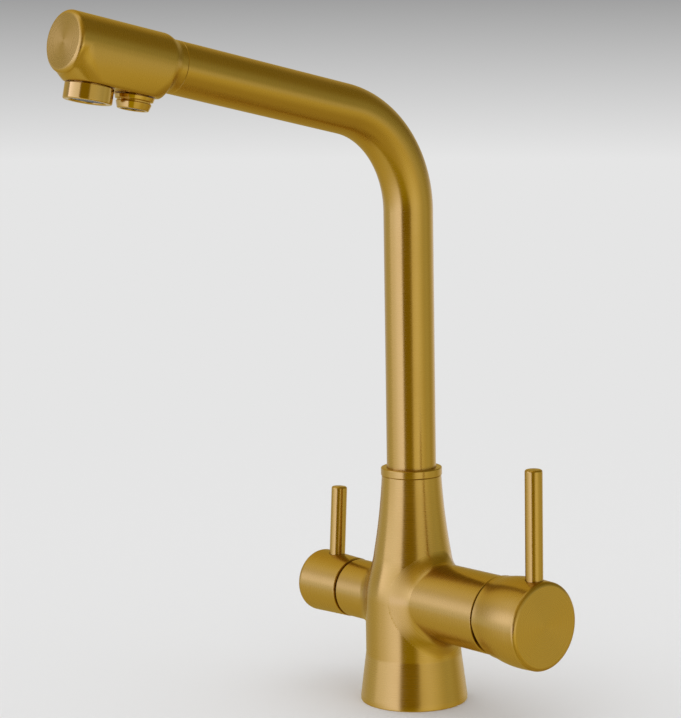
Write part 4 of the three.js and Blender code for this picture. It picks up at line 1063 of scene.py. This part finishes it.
HIGH_RING = [
    (-180, (0.5, 0.39, 0.1)), (-125, (0.58, 0.5, 0.28)), (-108, (0.5, 0.47, 0.5)),
    (-97, (0.42, 0.4, 0.52)), (-92, (1.8, 1.86, 4.8)), (-84, (1.5, 1.55, 4)),
    (-60, (1.2, 1.25, 2.8)), (-34, (1.05, 1.05, 2.1)),
    (-31, (0.28, 0.2, 0)), (12, (0.28, 0.2, 0)), (18, (0.72, 0.66, 0.6)),
    (40, (0.66, 0.61, 0.5)), (70, (0.42, 0.4, 0.3)), (78, (0.4, 0.39, 0.3)),
    (100, (0.36, 0.34, 0.2)), (130, (0.22, 0.18, 0.05)), (155, (0.5, 0.44, 0.25)),
    (180, (0.5, 0.39, 0.1)),
]
CEILING_RING = [
    (-180, (0.52, 0.38, 0.06)), (-140, (0.66, 0.52, 0.18)), (-110, (0.74, 0.66, 0.4)),
    (-98, (0.95, 0.92, 1.5)), (-86, (0.95, 0.92, 1.5)), (-60, (0.7, 0.6, 0.3)),
    (-20, (0.42, 0.3, 0.06)), (60, (0.28, 0.22, 0.06)),
    (140, (0.22, 0.17, 0.03)), (180, (0.52, 0.38, 0.06)),
]
STUDIO = [FLOOR_RING, LOW_RING, LEVEL_RING, HIGH_RING, CEILING_RING]

# Where each ring goes over into the one above it, as heights of the direction: -1 is straight
# down, 0 level and 1 straight up.
BLENDS = [(-0.7, -0.28), (-0.28, -0.12), (-0.1, 0.14), (0.25, 0.62)]


def studio_ring(tree, bearing, panels):
    """A ring of panels as a colour ramp over the bearing."""
    ring = add_node(tree, "ShaderNodeValToRGB", {"Fac": bearing})
    stops = [
        (degrees / 360 + 0.5, [c / STUDIO_GAIN for c in colour] + [1])
        for degrees, colour in panels
    ]
    ramp = ring.color_ramp
    for element, (place, colour) in zip(ramp.elements, (stops[0], stops[-1])):
        element.position, element.color = place, colour
    for place, colour in stops[1:-1]:
        ramp.elements.new(place).color = colour
    return ring.outputs["Color"]


def between(tree, value, low, high, below, above):
    """Goes smoothly from one colour to another as a value goes from low to high."""
    share = add_node(
        tree, "ShaderNodeMapRange", {"Value": value, "From Min": low, "From Max": high},
        interpolation_type="SMOOTHSTEP",
    ).outputs["Result"]
    return add_node(
        tree, "ShaderNodeMix", {"Factor": share, 6: below, 7: above}, data_type="RGBA",
    ).outputs[2]


def light_studio():
    """The studio that the metal mirrors, and a plain pale room for whatever is matt."""
    world = bpy.data.worlds.new("studio")
    bpy.context.scene.world = world
    world.use_nodes = True
    tree = world.node_tree
    tree.nodes.clear()
    way = add_node(tree, "ShaderNodeTexCoord").outputs["Generated"]
    spin = add_node(
        tree, "ShaderNodeMapping",
        {"Vector": way, "Rotation": (0, 0, math.pi / 2 - CAMERA_BEARING)},
    ).outputs["Vector"]
    bearing = add_node(
        tree, "ShaderNodeTexGradient", {"Vector": spin}, gradient_type="RADIAL",
    ).outputs["Fac"]
    height = add_node(tree, "ShaderNodeSeparateXYZ", {"Vector": way}).outputs["Z"]
    colour, *rings_above = [studio_ring(tree, bearing, panels) for panels in STUDIO]
    for (low, high), ring in zip(BLENDS, rings_above):
        colour = between(tree, height, low, high, colour, ring)
    studio = add_node(
        tree, "ShaderNodeBackground", {"Color": colour, "Strength": STUDIO_GAIN},
    ).outputs["Background"]
    room = add_node(
        tree, "ShaderNodeBackground", {"Color": linear("#f2f2f2")},
    ).outputs["Background"]
    mirrored = add_node(tree, "ShaderNodeLightPath").outputs["Is Glossy Ray"]
    shader = add_node(tree, "ShaderNodeMixShader", {0: mirrored, 1: room, 2: studio})
    add_node(tree, "ShaderNodeOutputWorld", {"Surface": shader.outputs["Shader"]})
    light = bpy.data.lights.new("overhead", "SUN")
    light.angle = LAMP_SPREAD
    light.energy = LAMP_STRENGTH
    lamp = add_object("overhead", light)
    lamp.rotation_euler = LAMP_LEAN
    lamp.visible_glossy = False


# ---- The picture -----------------------------------------------------------------------------

def finish_kept_nodes():
    """Gives every CAD node that stays its real material."""
    slots = {entry["node"]: entry["material_slot"] for entry in frame["record"]["subparts"]}
    for name, piece in frame["nodes"].items():
        piece.data.materials.clear()
        piece.data.materials.append(MATERIALS[slots[name]])


bpy.context.scene.view_settings.view_transform = "Standard"
place_camera()
light_studio()
stage_paper()

finish_kept_nodes()
build_body()
build_collar()
build_tube()
build_head()
build_aerator()
build_nozzle()
build_mixer_handle()
build_filter_handle()
